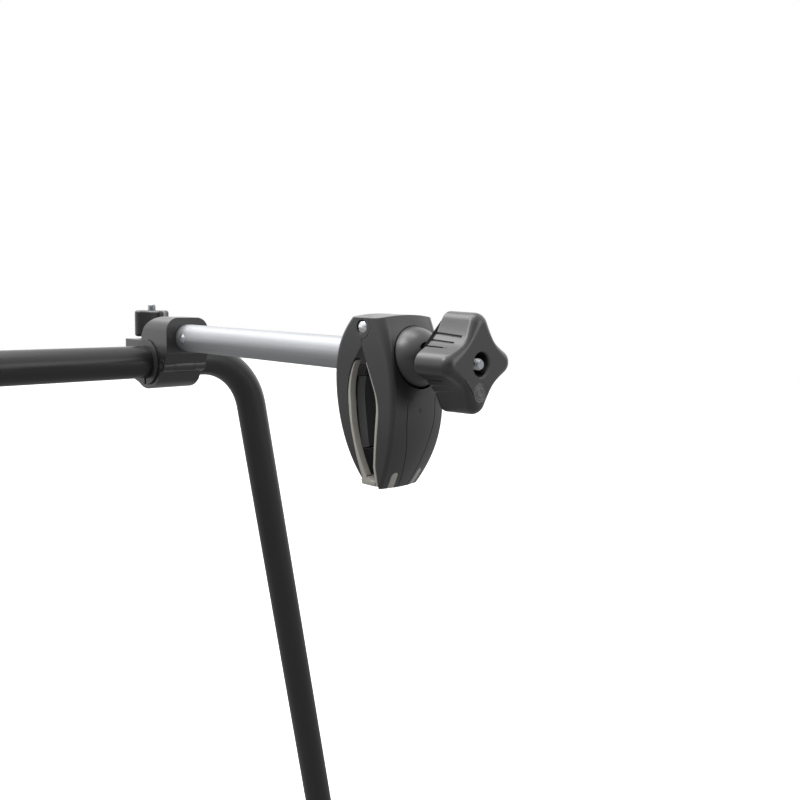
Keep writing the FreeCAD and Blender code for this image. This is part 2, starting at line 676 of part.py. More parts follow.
def make_claw():
    """Lower half of the bow clamp, hinged in front and pulled up by the swing bolt."""
    hoop = "(seat_r + claw_hoop)"
    body = body_named("Claw")
    side = sketch_on("YZ", "ClawSide", body)
    outline(side, [
        ("-sqrt(seat_r ^ 2 - claw_part ^ 2)", "-claw_part", "seat_r", -1),
        ("-claw_pin_front", "-claw_part"),
        ("-claw_pin_front - claw_knuckle + claw_bevel / 2",
         "-claw_pin_drop - claw_knuckle + claw_bevel"),
        ("-claw_pin_front + claw_bevel", "-claw_pin_drop - claw_knuckle - claw_bevel / 2"),
        (f"-{hoop} * sin(claw_from)", f"-{hoop} * cos(claw_from)"),
        (f"{hoop} * sin(claw_to)", f"-{hoop} * cos(claw_to)", hoop, 1),
        ("bolt_back", "-bolt_drop - barrel_r - claw_wall"),
        ("bolt_back + barrel_r + claw_wall", "-bolt_drop", "barrel_r + claw_wall", 1),
        ("bolt_back + barrel_r + claw_wall", "-claw_part"),
        ("sqrt(seat_r ^ 2 - claw_part ^ 2)", "-claw_part"),
    ])
    pad(body, side, "clamp_width")
    knuckle = circle(sketch_on("YZ", "ClawKnuckle", body),
                     "-claw_pin_front", "-claw_pin_drop", "claw_knuckle")
    pad(body, knuckle, "clamp_width")
    tools = [
        bar("ClawPinHole", "X", "claw_pin_od / 2", "clamp_width",
            ("-clamp_half", "-claw_pin_front", "-claw_pin_drop")),
        bar("ClawTongueRoom", "X", "claw_knuckle + free", "claw_tongue + 2 * free",
            ("-claw_tongue / 2 - free", "-claw_pin_front", "-claw_pin_drop")),
        bar("ClawBarrelHole", "X", "barrel_r + slip", "clamp_width",
            ("-clamp_half", "bolt_back", "-bolt_drop")),
        block("ClawBoltSlot", ("(bolt_od + 2 * slot_side)", "clamp_back", "2 * bolt_drop"),
              ("-bolt_od / 2 - slot_side", "bolt_back - bolt_od / 2 - slot_play", "-bolt_drop")),
    ]
    node("clamp_claw", cut("ClawCut", body, tools), CLAMP)
    node("claw_pin", bar("ClawPin", "X", "claw_pin_od / 2", "clamp_width",
                         ("-clamp_half", "0", "0")),
         ("arm_side - clamp_half", "-claw_pin_front", "bow_height - claw_pin_drop"))


def make_swing_bolt():
    """Bolt, its barrel in the claw, the washer on the ear and the clamp knob."""
    barrel = bar("Barrel", "X", "barrel_r", "barrel_length", ("-barrel_length / 2", "0", "0"))
    hole = bar("BarrelHole", "Z", "bolt_od / 2", "2 * barrel_od", ("0", "0", "-barrel_od"))
    spot = ("arm_side", "bolt_back", "bow_height - bolt_drop")
    node("bolt_barrel", cut("BoltBarrel", barrel, [hole]), spot)
    shank = turned("SwingBolt", [
        ("-bolt_heel", "0"),
        ("-bolt_heel", "bolt_od / 2"),
        ("bolt_top + bolt_drop - 1", "bolt_od / 2"),
        ("bolt_top + bolt_drop", "bolt_od / 2 - 1"),
        ("bolt_top + bolt_drop", "0"),
    ], axis="Z")
    node("swing_bolt", shank, spot)
    base = ("arm_side", "bolt_back", "bow_height + ear_top + seat_gap")
    node("clamp_washer", turned("ClampWasher", [
        ("0", "bolt_od / 2 + slip"),
        ("washer_height", "bolt_od / 2 + slip"),
        ("washer_height", "washer_od / 2"),
        ("0", "washer_od / 2"),
    ], axis="Z"), base)
    knob = body_named("ClampKnob")
    lobes = sketch_on("XY", "ClampKnobLobes", knob)
    outline(lobes, lobe_points("grip"))
    pad(knob, lobes, "grip_height", symmetric=False)
    round_edges(knob, "grip_edge", lambda edge: (
        edge.BoundBox.ZLength < 0.01), "ClampKnobEdges")
    seat = circle(sketch_on("XY", "ClampInsertSeat", knob), "0", "0", "grip_insert_od / 2")
    pocket(knob, seat, "grip_insert_length", symmetric=False, away=True)
    way = circle(sketch_on("XY", "ClampBoltWay", knob), "0", "0", "bolt_od / 2 + free")
    pocket(knob, way, "grip_height", symmetric=False, away=True)
    top = ("arm_side", "bolt_back", "bow_height + grip_base")
    node("clamp_knob", knob, top)
    node("clamp_insert", turned("ClampInsert", [
        ("0", "bolt_od / 2 + slip"),
        ("grip_insert_length", "bolt_od / 2 + slip"),
        ("grip_insert_length", "grip_insert_od / 2"),
        ("0", "grip_insert_od / 2"),
    ], axis="Z"), top)


# Arm

def make_arm():
    length = "(reach - arm_end - socket_floor - 2 * slip)"
    outer = bar("ArmOuter", "Y", "arm_r", length, ("0", "0", "0"))
    tools = [
        bar("ArmInner", "Y", "arm_bore_r", f"{length} + 2", ("0", "-1", "0")),
        bar("ArmRivetHole", "X", "rivet_od / 2", "2 * arm_od",
            ("-arm_od", f"{length} - rivet_back", "0")),
    ]
    start = ("arm_side", "socket_floor + 2 * slip - reach", "bow_height + arm_rise")
    node("arm_tube", cut("Arm", outer, tools), start)
    spigot = bar("SpigotOuter", "Y", "arm_bore_r", "spigot_length", ("0", "-spigot_length", "0"))
    spigot_tools = [
        bar("SpigotThread", "Y", "spigot_screw_od / 2", "spigot_length",
            ("0", "rivet_od - rivet_back", "0")),
        bar("SpigotRivetHole", "X", "rivet_od / 2", "2 * arm_od",
            ("-arm_od", "-rivet_back", "0")),
    ]
    end = ("arm_side", "-arm_end", "bow_height + arm_rise")
    node("arm_spigot", cut("Spigot", spigot, spigot_tools), end)
    node("cross_rivet", turned("CrossRivet", [
        ("-arm_r - rivet_rise", "0"),
        ("-arm_r - rivet_rise", "rivet_od / 2"),
        ("-arm_r", "rivet_od / 2 + rivet_brim"),
        ("-arm_r", "rivet_od / 2"),
        ("arm_r", "rivet_od / 2"),
        ("arm_r", "rivet_od / 2 + rivet_brim"),
        ("arm_r + rivet_rise", "rivet_od / 2"),
        ("arm_r + rivet_rise", "0"),
    ], axis="X"), ("arm_side", "-arm_end - rivet_back", "bow_height + arm_rise"))
    node("spigot_screw", turned("SpigotScrew", [
        ("rivet_od - rivet_back", "0"),
        ("rivet_od - rivet_back", "spigot_screw_od / 2"),
        ("arm_end - screw_seat", "spigot_screw_od / 2"),
        ("arm_end - screw_seat", "spigot_head_od / 2"),
        ("arm_end + screw_rise - screw_bevel", "spigot_head_od / 2"),
        ("arm_end + screw_rise", "spigot_head_od / 2 - screw_bevel"),
        ("arm_end + screw_rise", "0"),
    ]), end)


def make_swivel():
    """Plug in the arm's front end and the countersunk screw that the head turns on."""
    floor = ("arm_side", "socket_floor - reach", "bow_height + arm_rise")
    node("swivel_plug", turned("SwivelPlug", [
        ("slip * 2", "swivel_screw_od / 2"),
        ("plug_length", "swivel_screw_od / 2"),
        ("plug_length", "arm_bore_r"),
        ("slip * 2", "arm_bore_r"),
    ]), floor)
    sink = "(swivel_head_od - swivel_screw_od) / 2"
    wall = "socket_floor - trunnion_back - trunnion_od / 2 - free"
    node("swivel_screw", turned("SwivelScrew", [
        (f"-({wall})", "0"),
        (f"-({wall})", "swivel_head_od / 2"),
        (f"{sink} - ({wall})", "swivel_screw_od / 2"),
        ("plug_length - 2", "swivel_screw_od / 2"),
        ("plug_length - 1", "swivel_screw_od / 2 - 1"),
        ("plug_length - 1", "0"),
    ]), floor)


# Head, about its hinge pin

SIDES = {
    "front": {"sign": -1, "bottom": "front_bottom", "up": "front_round_up",
              "low": "front_round_low"},
    "rear": {"sign": 1, "bottom": "rear_bottom", "up": "rear_round_up",
             "low": "rear_round_low"},
}


def signed(side, text):
    """Distance from the parting plane, on the side of one jaw."""
    return f"({text})" if SIDES[side]["sign"] > 0 else f"-({text})"


def jaw_depth(side, level, radius, inset="0"):
    """Depth of a jaw's outer corner at a level below the pin."""
    rise = f"({level} - {side}_widest)"
    bend = f"({radius} - ({inset}))"
    return f"({side}_depth - ({inset}) - {bend} + sqrt({bend} ^ 2 - {rise} ^ 2))"


def jaw_half_width(level, below_waist):
    """Half width of both jaws at a level below the pin."""
    if below_waist:
        share = f"(({level} - waist_level) / (front_bottom - waist_level))"
        return f"(jaw_waist - jaw_taper * {share} ^ 2)"
    return f"(jaw_waist + jaw_flare * (waist_level - {level}) / (waist_level + jaw_top))"


def jaw_section(body, side, name, level, radius, below_waist):
    """Cross-section of a jaw: flat inside, straight ends, round corners, crowned outside."""
    bottom = SIDES[side]["bottom"]
    half = jaw_half_width(level, below_waist)
    share = f"(({bottom} - {level}) / ({bottom} + jaw_top))"
    corner = f"(corner_radius + {side}_corner_flare * {share} ^ 2)"
    depth = jaw_depth(side, level, radius)
    flat = f"({half} - {corner})"
    crown = f"(({flat} ^ 2 + jaw_crown ^ 2) / (2 * jaw_crown))"
    inside = signed(side, "half_gap")
    turn = signed(side, f"{depth} - {corner}")
    outside = signed(side, depth)
    bulge = SIDES[side]["sign"]
    sketch = sketch_on("XY", name, body, level=f"-({level})")
    return outline(sketch, [
        (f"-{half}", inside),
        (half, inside),
        (half, turn),
        (flat, outside, corner, bulge),
        (f"-{flat}", outside, crown, bulge),
        (f"-{half}", turn, corner, bulge),
    ])


def jaw_blank(side, steps=3):
    """Outer form of a jaw, lofted through sections from its top to its end."""
    body = body_named(side.title() + "Jaw")
    bottom = SIDES[side]["bottom"]
    levels = []
    for step in range(steps + 1):
        levels.append((f"(-jaw_top + ({side}_widest + jaw_top) * {step} / {steps})", "up"))
    for step in range(1, steps + 1):
        levels.append((f"({side}_widest + ({bottom} - {side}_widest) * {step} / {steps})", "low"))
    sections = []
    for number, (level, part) in enumerate(levels):
        below = value(level) > value("waist_level")
        sections.append(jaw_section(body, side, f"{side.title()}Section{number}", level,
                                    SIDES[side][part], below))
    loft = body.newObject("PartDesign::AdditiveLoft", side.title() + "Loft")
    loft.Profile = sections[0]
    loft.Sections = sections[1:]
    body.Tip = loft
    doc.recompute()
    return body


def shifted(start, end, point, inset, side):
    """Point moved square to the run from start to end, into the tube opening."""
    run = f"sqrt(({end[0]} - ({start[0]})) ^ 2 + ({end[1]} - ({start[1]})) ^ 2)"
    across = f"(({end[1]}) - ({start[1]})) / {run}"
    down = f"(({end[0]}) - ({start[0]})) / {run}"
    return (f"({point[0]}) - ({inset}) * {across}", f"({point[1]}) - ({inset}) * {down}")


def edge_curve(side, inset, top, bottom):
    """Edge of the tube opening as (depth, level) points from top to bottom, with radii."""
    apex = ("half_gap", "apex_level")
    shoulder = (f"{side}_shoulder", f"{side}_shoulder_level")
    belly = (f"{side}_belly", f"{side}_belly_level")
    toe = (f"{side}_toe", f"{side}_toe_level")
    slope = f"({side}_shoulder - half_gap) / ({side}_shoulder_level - apex_level)"
    start = (f"half_gap + ({top} - apex_level) * {slope}", top)
    moved = [
        shifted(apex, shoulder, start, inset, side),
        shifted(apex, shoulder, shoulder, inset, side),
        shifted(shoulder, toe, belly, inset, side),
        shifted(belly, toe, toe, inset, side),
    ]
    radii = [None, None, f"{side}_upper_round - ({inset})", f"{side}_lower_round - ({inset})"]
    points = []
    for (depth, level), radius in zip(moved, radii):
        spot = (signed(side, depth), f"-({level})")
        points.append(spot if radius is None else spot + (radius, -SIDES[side]["sign"]))
    points.append((signed(side, moved[-1][0]), f"-({bottom})"))
    return points


def opening_cut(side):
    """Space that a jaw leaves for the bike's tube, between the parting plane and its edge."""
    bottom = "front_bottom + 5"
    points = edge_curve(side, "0", "apex_level + 0.01", bottom)
    middle = signed(side, "-1")
    closed = points + [(middle, f"-({bottom})"), (middle, "-apex_level - 0.01")]
    return prism(side.title() + "Opening", "YZ", closed, "4 * jaw_waist")


def top_trim(side):
    """Space above a jaw's crowned top."""
    half = "(top_half + 5)"
    edge = f"(jaw_top - slip - top_round + sqrt(top_round ^ 2 - {half} ^ 2))"
    return prism(side.title() + "TopTrim", "XZ", [
        (half, edge),
        (f"-{half}", edge, "top_round", 1),
        (f"-{half}", "2 * jaw_top"),
        (half, "2 * jaw_top"),
    ], "4 * front_depth")


def front_view(name, top, bottom, margin):
    """Outline of both jaws seen from the front, less a margin."""
    waist = f"(jaw_waist - ({margin}))"
    share = f"(({bottom} - waist_level) / (front_bottom - waist_level))"
    foot = f"(jaw_waist - jaw_taper * {share} ^ 2 - ({margin}))"
    points = [
        (f"-{waist}", f"-({top})"),
        (f"-{waist}", "-waist_level"),
        (f"-{foot}", f"-({bottom})", "taper_round", 1),
        (foot, f"-({bottom})"),
        (waist, "-waist_level", "taper_round", 1),
        (waist, f"-({top})"),
    ]
    return prism(name, "XZ", points, "4 * front_depth")


def pad_band(name, side, face_inset, back_inset):
    """Band between a jaw's edge and its outer wall, inset on both."""
    bottom = f"{side}_pad_bottom"
    low = SIDES[side]["low"]
    back_round = f"({low} - ({back_inset}))"
    points = edge_curve(side, face_inset, "band_top", bottom)[:4]
    points += [
        (signed(side, jaw_depth(side, bottom, low, back_inset)), f"-{bottom}"),
        (signed(side, jaw_depth(side, "band_top", low, back_inset)), "-band_top", back_round,
         SIDES[side]["sign"]),
    ]
    return prism(name, "YZ", points, "4 * jaw_waist")


def make_pads(side):
    """Ribbed rubber pad of a jaw; returns the pocket that it sits in."""
    title = side.title()
    bottom = f"{side}_pad_bottom"
    top = f"{side}_pad_top"
    room = common(title + "PadRoom", pad_band(title + "RoomSide", side, "lip_height", "jaw_wall"),
                  front_view(title + "RoomFront", top, bottom, "end_wall"))
    fit = front_view(title + "PadFront", f"{top} + slip", f"{bottom} - slip", "end_wall + slip")
    base = common(title + "PadBase", pad_band(title + "PadSide", side, "-pad_setback",
                                              "jaw_wall + slip"), fit)
    strips = [prism(f"{title}Rib{word}", "XZ", box_points(
        f"{sign}rib_side - rib_width / 2", f"{sign}rib_side + rib_width / 2",
        f"-{bottom} + 2 * free", f"-{top} - 2 * free"), "4 * front_depth")
        for word, sign in (("Left", "-"), ("Right", ""))]
    ribs = common(title + "Ribs", pad_band(title + "RibSide", side, "rib_height - pad_setback",
                                           "jaw_wall + 2 * free"), fuse(title + "Strips", strips))
    ribs = common(title + "RibsTrimmed", ribs, fit)
    node(f"{side}_pad", fuse(title + "Pad", [base, ribs]), HEAD)
    return room


def make_lip(side):
    """Soft lip on a jaw's edge: two end strips closed by a bridge at the bottom."""
    title = side.title()
    edge = edge_curve(side, "0", "lip_top", "lip_bottom")
    crest = edge_curve(side, "lip_height", "lip_top", "lip_bottom")
    sign = SIDES[side]["sign"]
    if side == "rear":
        tongue_end = "-(front_toe - lip_height - free)"
        points = crest[:3] + [
            ("tongue_behind", "-tongue_root", "crest_round", -sign),
            ("-tongue_ahead", "-tongue_top", "tongue_round", -sign),
            (tongue_end, "-tongue_top"),
            (tongue_end, "-lip_bottom"),
            ("rear_toe + lip_heel", "-lip_bottom"),
            ("rear_toe + lip_heel", "-rear_toe_level"),
        ]
    else:
        points = crest[:4] + [
            (crest[3][0], "-lip_bottom"),
            (edge[4][0], "-lip_bottom"),
        ]
    points += [
        (edge[3][0], edge[3][1]),
        (edge[2][0], edge[2][1], edge[3][2], sign),
        (edge[1][0], edge[1][1], edge[2][2], sign),
        (edge[0][0], edge[0][1]),
    ]
    strip = prism(title + "LipSide", "YZ", points, "4 * jaw_waist")
    whole = common(title + "LipWhole", strip, front_view(
        title + "LipFront", "lip_top - 5", "lip_bottom", "free"))
    window = front_view(title + "LipWindow", "lip_top - 10", "lip_bridge", "end_wall")
    node(f"{side}_lip", cut(title + "Lip", whole, [window]), HEAD)


def make_rear_jaw():
    ear_half = "jaw_waist + jaw_flare - free"
    ears = bar("RearEars", "X", "ear_radius", f"2 * ({ear_half})", (f"-({ear_half})", "0", "0"))
    fan = prism("RearRodFan", "YZ", [
        ("trunnion_back", "-rod_drop - rod_slot / 2"),
        ("trunnion_back", "-rod_drop + rod_slot / 2"),
        ("trunnion_back - 2 * ear_radius",
         "-rod_drop + rod_slot / 2 + 2 * ear_radius * tan(swing_up)"),
        ("-2 * ear_radius", "-rod_drop - rod_slot / 2"),
    ], "rod_slot")
    wall = "socket_floor - trunnion_back - trunnion_od / 2 - free"
    tools = [
        bar("RearKnuckleRoom", "X", "knuckle_room", "2 * knuckle_half + 2 * free",
            ("-knuckle_half - free", "0", "0")),
        block("RearFrontTrim", ("2 * knuckle_half + 2 * free", "2 * ear_radius", "3 * ear_radius"),
              ("-knuckle_half - free", "half_gap - 2 * ear_radius", "-1.5 * ear_radius")),
        bar("RearPinHole", "X", "pin_od / 2", "4 * jaw_waist", ("-2 * jaw_waist", "0", "0")),
        bar("RearPinSeatLeft", "X", "pin_head_od / 2 + free", "pin_recess + pin_room",
            ("-jaw_waist - jaw_flare - pin_room + free", "0", "0")),
        bar("RearPinSeatRight", "X", "pin_head_od / 2 + free", "pin_recess + pin_room",
            ("jaw_waist + jaw_flare - pin_recess - free", "0", "0")),
        top_trim("rear"),
        opening_cut("rear"),
        bar("RearArmSocket", "Y", "arm_r + slip", "2 * rear_depth", ("0", "socket_floor", "-arm_drop")),
        bar("RearScrewHole", "Y", "swivel_screw_od / 2 + slip", "socket_floor",
            ("0", "trunnion_back", "-arm_drop")),
        sink_cone("RearScrewSink", wall),
        bar("RearHeadRoom", "Y", "swivel_head_od / 2 + 2 * slip",
            f"socket_floor - ({wall}) - trunnion_back", ("0", "trunnion_back", "-arm_drop")),
        bar("RearBarrelRoom", "X", "trunnion_od / 2 + slip", "trunnion_length + 2 * free",
            ("-trunnion_length / 2 - free", "trunnion_back", "-rod_drop")),
        block("RearBarrelWay", ("trunnion_length + 2 * free", "trunnion_od + 2 * slip",
                                "rear_pad_top - rod_drop + 1"),
              ("-trunnion_length / 2 - free", "trunnion_back - trunnion_od / 2 - slip",
               "-rear_pad_top - 1")),
        fan,
        make_pads("rear"),
    ]
    node("rear_jaw", carve("RearJawCarved", jaw_blank("rear"), ears, tools), HEAD)


def sink_cone(name, wall):
    """Countersink for the swivel screw's head."""
    cone = doc.addObject("Part::Cone", name)
    cone.Placement = FreeCAD.Placement(FreeCAD.Vector(), TURNS["Y"])
    cone.setExpression("Radius1", bind("swivel_head_od / 2 + 2 * slip"))
    cone.setExpression("Radius2", bind("swivel_screw_od / 2 + slip"))
    cone.setExpression("Height", bind("(swivel_head_od - swivel_screw_od) / 2 + slip"))
    place(cone, ("0", f"socket_floor - ({wall}) - slip", "-arm_drop"))
    return cone


def skin(name, blank, strip, depth):
    """Outer skin of a jaw's blank under a strip, a given depth thick."""
    inner = blank.Shape.copy()
    inner.translate(FreeCAD.Vector(0, value(depth), 0))
    result = doc.addObject("Part::Feature", name)
    result.Shape = blank.Shape.common(sound(strip).Shape).cut(inner)
    return sound(result)


def seam_strip(name, sign):
    """Thin strip along one panel seam, seen from the front."""
    points = []
    for edge in ("-", "+"):
        chain = [(f"{sign}(seam_side {edge} seam_width / 2)", "-seam_top"),
                 (f"{sign}(seam_side {edge} seam_width / 2)", "-seam_bend"),
                 (f"{sign}(seam_foot {edge} seam_width / 2)", "-front_bottom - 1")]
        points += chain if edge == "-" else chain[::-1]
    return prism(name, "XZ", points, "4 * front_depth")


def clip_strip(name, sign):
    """Round-topped strip under one lip clip, seen from the front."""
    half = "clip_width / 2"
    shoulder = f"-clip_top - {half}"
    return prism(name, "XZ", [
        (f"{sign}clip_foot - {half}", "-front_bottom - 1"),
        (f"{sign}clip_foot + {half}", "-front_bottom - 1"),
        (f"{sign}clip_side + {half}", shoulder),
        (f"{sign}clip_side", "-clip_top", half, 1),
        (f"{sign}clip_side - {half}", shoulder, half, 1),
    ], "4 * front_depth")


def make_front_jaw():
    blank = jaw_blank("front")
    knuckle = bar("FrontKnuckle", "X", "knuckle_radius", "2 * knuckle_half",
                  ("-knuckle_half", "0", "0"))
    reach = "jaw_waist + jaw_flare + 5 - knuckle_half"
    slot = prism("FrontRodSlot", "YZ", box_points(
        "-front_depth * 2", "slot_past", "-slot_bottom", "-slot_top"), "rod_slot")
    tools = [
        bar("FrontEarRoomLeft", "X", "ear_radius + free", reach,
            ("-jaw_waist - jaw_flare - 5", "0", "0")),
        bar("FrontEarRoomRight", "X", "ear_radius + free", reach, ("knuckle_half", "0", "0")),
        bar("FrontPinHole", "X", "pin_od / 2 + slip", "4 * jaw_waist", ("-2 * jaw_waist", "0", "0")),
        ball("FrontDomeHole", "2 * slip"),
        slot,
        top_trim("front"),
        opening_cut("front"),
        make_pads("front"),
    ]
    for word, sign in (("Left", "-"), ("Right", "")):
        clip = skin("Clip" + word, blank, clip_strip(f"Clip{word}Strip", sign), "clip_depth")
        tools += [clip, skin("Seam" + word, blank, seam_strip(f"Seam{word}Strip", sign),
                             "seam_depth")]
    node("front_jaw", carve("FrontJawCarved", blank, knuckle, tools), HEAD)
    for word in ("Left", "Right"):
        node(f"{word.lower()}_lip_clip", doc.getObject("Clip" + word), HEAD)


def ball(name, play):
    """Dome's ball with its flat back; play widens it for its hole."""
    room = f"2 * (dome_reach + {play})"
    level = "-rod_drop - dome_low"
    shape = doc.addObject("Part::Ellipsoid", name + "Round")
    shape.setExpression("Radius1", bind(f"dome_half_height + {play}"))
    shape.setExpression("Radius2", bind(f"dome_reach + {play}"))
    shape.setExpression("Radius3", bind(f"dome_reach + {play}"))
    seam_inwards = FreeCAD.Rotation(FreeCAD.Vector(0, 0, 1), 90)
    shape.Placement = FreeCAD.Placement(FreeCAD.Vector(), seam_inwards)
    place(shape, ("0", "-dome_centre", level))
    behind = block(name + "Behind", (room, room, room),
                   (f"-{room} / 2", f"{play} - dome_root", f"{level} - {room} / 2"))
    return cut(name, shape, [behind])


def make_dome():
    """Ball seat for the knob, let into the front jaw."""
    room = "2 * dome_reach"
    beyond = block("DomeBeyond", (room, room, room),
                   ("-dome_reach", f"-dome_seat - {room}", "-rod_drop - dome_reach"))
    slot = prism("DomeSlot", "YZ", box_points(
        "-front_depth * 2", "slot_past", "-slot_bottom", "-slot_top"), "rod_slot")
    node("thrust_dome", cut("DomeCut", ball("Dome", "0"), [beyond, slot]), HEAD)


def make_pin():
    """Hinge pin with a domed head, and the cap on its other end."""
    side = "(jaw_waist + jaw_flare - free - pin_recess)"
    dome = "((pin_head_od / 2) ^ 2 + pin_head_dome ^ 2) / (2 * pin_head_dome)"
    node("hinge_pin", turned("HingePin", [
        (f"-{side} - pin_head_dome", "0"),
        (f"-{side}", "pin_head_od / 2", dome, -1),
        (f"-{side}", "pin_od / 2"),
        (f"{side} + 1", "pin_od / 2"),
        (f"{side} + 1", "0"),
    ], axis="X"), HEAD)
    node("pin_cap", turned("PinCap", [
        (f"{side}", "pin_od / 2"),
        (f"{side} + 1", "pin_od / 2"),
        (f"{side} + 1", "0"),
        (f"{side} + pin_head_dome", "0"),
        (f"{side}", "pin_head_od / 2", dome, 1),
    ], axis="X"), HEAD)


def make_rod():
    """Tension rod, its barrel in the rear jaw and the thrust washer."""
    spot = ("arm_side", "trunnion_back - reach", "bow_height + arm_rise + arm_drop - rod_drop")
    node("tension_rod", turned("TensionRod", [
        ("rod_heel", "0"),
        ("rod_heel", "rod_r"),
        ("-trunnion_back - rod_end + 1", "rod_r"),
        ("-trunnion_back - rod_end", "rod_r - 1"),
        ("-trunnion_back - rod_end", "0"),
    ]), spot)
    barrel = bar("Trunnion", "X", "trunnion_od / 2", "trunnion_length",
                 ("-trunnion_length / 2", "0", "0"))
    hole = bar("TrunnionHole", "Y", "rod_r", "2 * trunnion_od", ("0", "-trunnion_od", "0"))
    node("rod_trunnion", cut("RodTrunnion", barrel, [hole]), spot)
    axis = ("arm_side", "-reach", "bow_height + arm_rise + arm_drop - rod_drop")
    node("thrust_washer", turned("ThrustWasher", [
        ("-washer_back", "rod_r + slip"),
        ("-washer_front", "rod_r + slip"),
        ("-washer_front", "washer_od / 2"),
        ("-washer_back", "washer_od / 2"),
    ]), axis)
    return axis


def lobe_points(kind):
    """Four round lobes with hollow valleys between them, all tangent."""
    lobe, at, reach = f"{kind}_lobe", f"{kind}_lobe_at", f"{kind}_reach"
    hollow = f"({reach} - {kind}_valley)"
    centre = f"{reach} / sqrt(2)"
    along = f"({at} + {lobe} * ({centre} - {at}) / ({lobe} + {hollow}))"
    across = f"({lobe} * {centre} / ({lobe} + {hollow}))"
    points = []
    for start, end in (
            ((along, f"-{across}"), (along, across)),
            ((across, along), (f"-{across}", along)),
            ((f"-{along}", across), (f"-{along}", f"-{across}")),
            ((f"-{across}", f"-{along}"), (across, f"-{along}"))):
        points.append(start + (hollow, -1))
        points.append(end + (lobe, 1))
    return points


def make_knob(axis):
    """Star knob with a rear boss, a hollow back, a front hole and grip grooves."""
    body = body_named("Knob")
    lobes = outline(sketch_on("XZ", "KnobLobes", body, level="knob_back"), lobe_points("knob"))
    pad(body, lobes, "knob_front - knob_back", symmetric=False)
    front, back = value("knob_front"), value("knob_back")
    round_edges(body, "knob_edge", lambda edge: (
        abs(edge.BoundBox.YMin + front) < 0.01 and edge.BoundBox.YLength < 0.01), "KnobFrontEdge")
    round_edges(body, "knob_rear_edge", lambda edge: (
        abs(edge.BoundBox.YMin + back) < 0.01 and edge.BoundBox.YLength < 0.01), "KnobRearEdge")
    boss = circle(sketch_on("XZ", "KnobBoss", body, level="boss_start"), "0", "0", "boss_od / 2")
    pad(body, boss, "knob_back - boss_start + 1", symmetric=False)
    hollow = outline(sketch_on("YZ", "KnobHollow", body), [
        ("-knob_back + 5", "knob_hollow_in"),
        ("-knob_back - knob_hollow_depth", "knob_hollow_in"),
        ("-knob_back - knob_hollow_depth", "knob_hollow_out"),
        ("-knob_back + 5", "knob_hollow_out"),
    ])
    groove(body, hollow, "H_Axis")
    bore = outline(sketch_on("YZ", "KnobBore", body), [
        ("0", "0"),
        ("0", "insert_od / 2"),
        ("-insert_start - insert_length", "insert_od / 2"),
        ("-insert_start - insert_length", "knob_bore / 2"),
        ("-knob_front + knob_chamfer", "knob_bore / 2"),
        ("-knob_front", "knob_bore / 2 + knob_chamfer"),
        ("-knob_front - 5", "knob_bore / 2 + knob_chamfer"),
        ("-knob_front - 5", "0"),
    ])
    groove(body, bore, "H_Axis")
    recess = circle(sketch_on("XZ", "DiscRecess", body, level="knob_front - disc_depth"),
                    "0", "-disc_drop", "disc_od / 2 + slip")
    pocket(body, recess, "disc_depth + 1", symmetric=False, away=True)
    for number in range(3):
        shift = f"groove_pitch * {number} / sqrt(2)"
        across = f"knob_valley / sqrt(2) - groove_side + {shift}"
        up = f"knob_valley / sqrt(2) + groove_side - {shift}"
        lines = sketch_on("XZ", f"GripGrooves{number}", body, level="knob_back - 1")
        for sign_x in ("-", ""):
            for sign_z in ("-", ""):
                circle(lines, f"{sign_x}({across})", f"{sign_z}({up})", "grip_groove / 2")
        pocket(body, lines, f"groove_first + 1 - groove_step * {number}",
               symmetric=False, away=True)
    node("knob", body, axis)
    node("knob_disc", bar("Disc", "Y", "disc_od / 2", "disc_depth - slip", ("0", "0", "0")),
         ("arm_side", "-reach - knob_front + slip",
          "bow_height + arm_rise + arm_drop - rod_drop - disc_drop"))
    node("knob_insert", turned("KnobInsert", [
        ("-insert_start", "rod_r + slip"),
        ("-insert_start - insert_length", "rod_r + slip"),
        ("-insert_start - insert_length", "insert_od / 2"),
        ("-insert_start", "insert_od / 2"),
    ]), axis)


def check_and_write():
    doc.recompute()
    for item in doc.Objects:
        bad = [state for state in item.State if state in ("Invalid", "Error")]
        if bad:
            raise RuntimeError(f"{item.Name} ({item.Label}): {item.State}")
    os.makedirs("parts", exist_ok=True)
    for name, item in NODES.items():
        shape = item.Shape
        if shape.isNull() or not shape.isValid() or not shape.Solids:
            raise RuntimeError(f"{name} has no valid solid")
        shape.exportStep(f"parts/{name}.step")
        box = shape.BoundBox
        print(f"{name:18s} solids {len(shape.Solids)}  volume {shape.Volume:10.1f}"
              f"  x {box.XMin:8.2f} {box.XMax:8.2f}  y {box.YMin:8.2f} {box.YMax:8.2f}"
              f"  z {box.ZMin:8.2f} {box.ZMax:8.2f}")


def main():
    fill_sheet()
    make_bow()
    make_foot("left", -1)
    make_foot("right", 1)
    make_bush()
    make_housing()
    make_claw()
    make_swing_bolt()
    make_arm()
    make_swivel()
    make_rear_jaw()
    make_front_jaw()
    make_lip("rear")
    make_lip("front")
    make_dome()
    make_pin()
    make_knob(make_rod())
    check_and_write()


main()
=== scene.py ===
"""Bike frame holder on its silver arm and black bow: finishes, fine parts, light and camera."""

import json
import logging
import math
from dataclasses import dataclass, field
from enum import Enum
from typing import Any, Callable

import bmesh
import bpy
from mathutils import Matrix, Vector

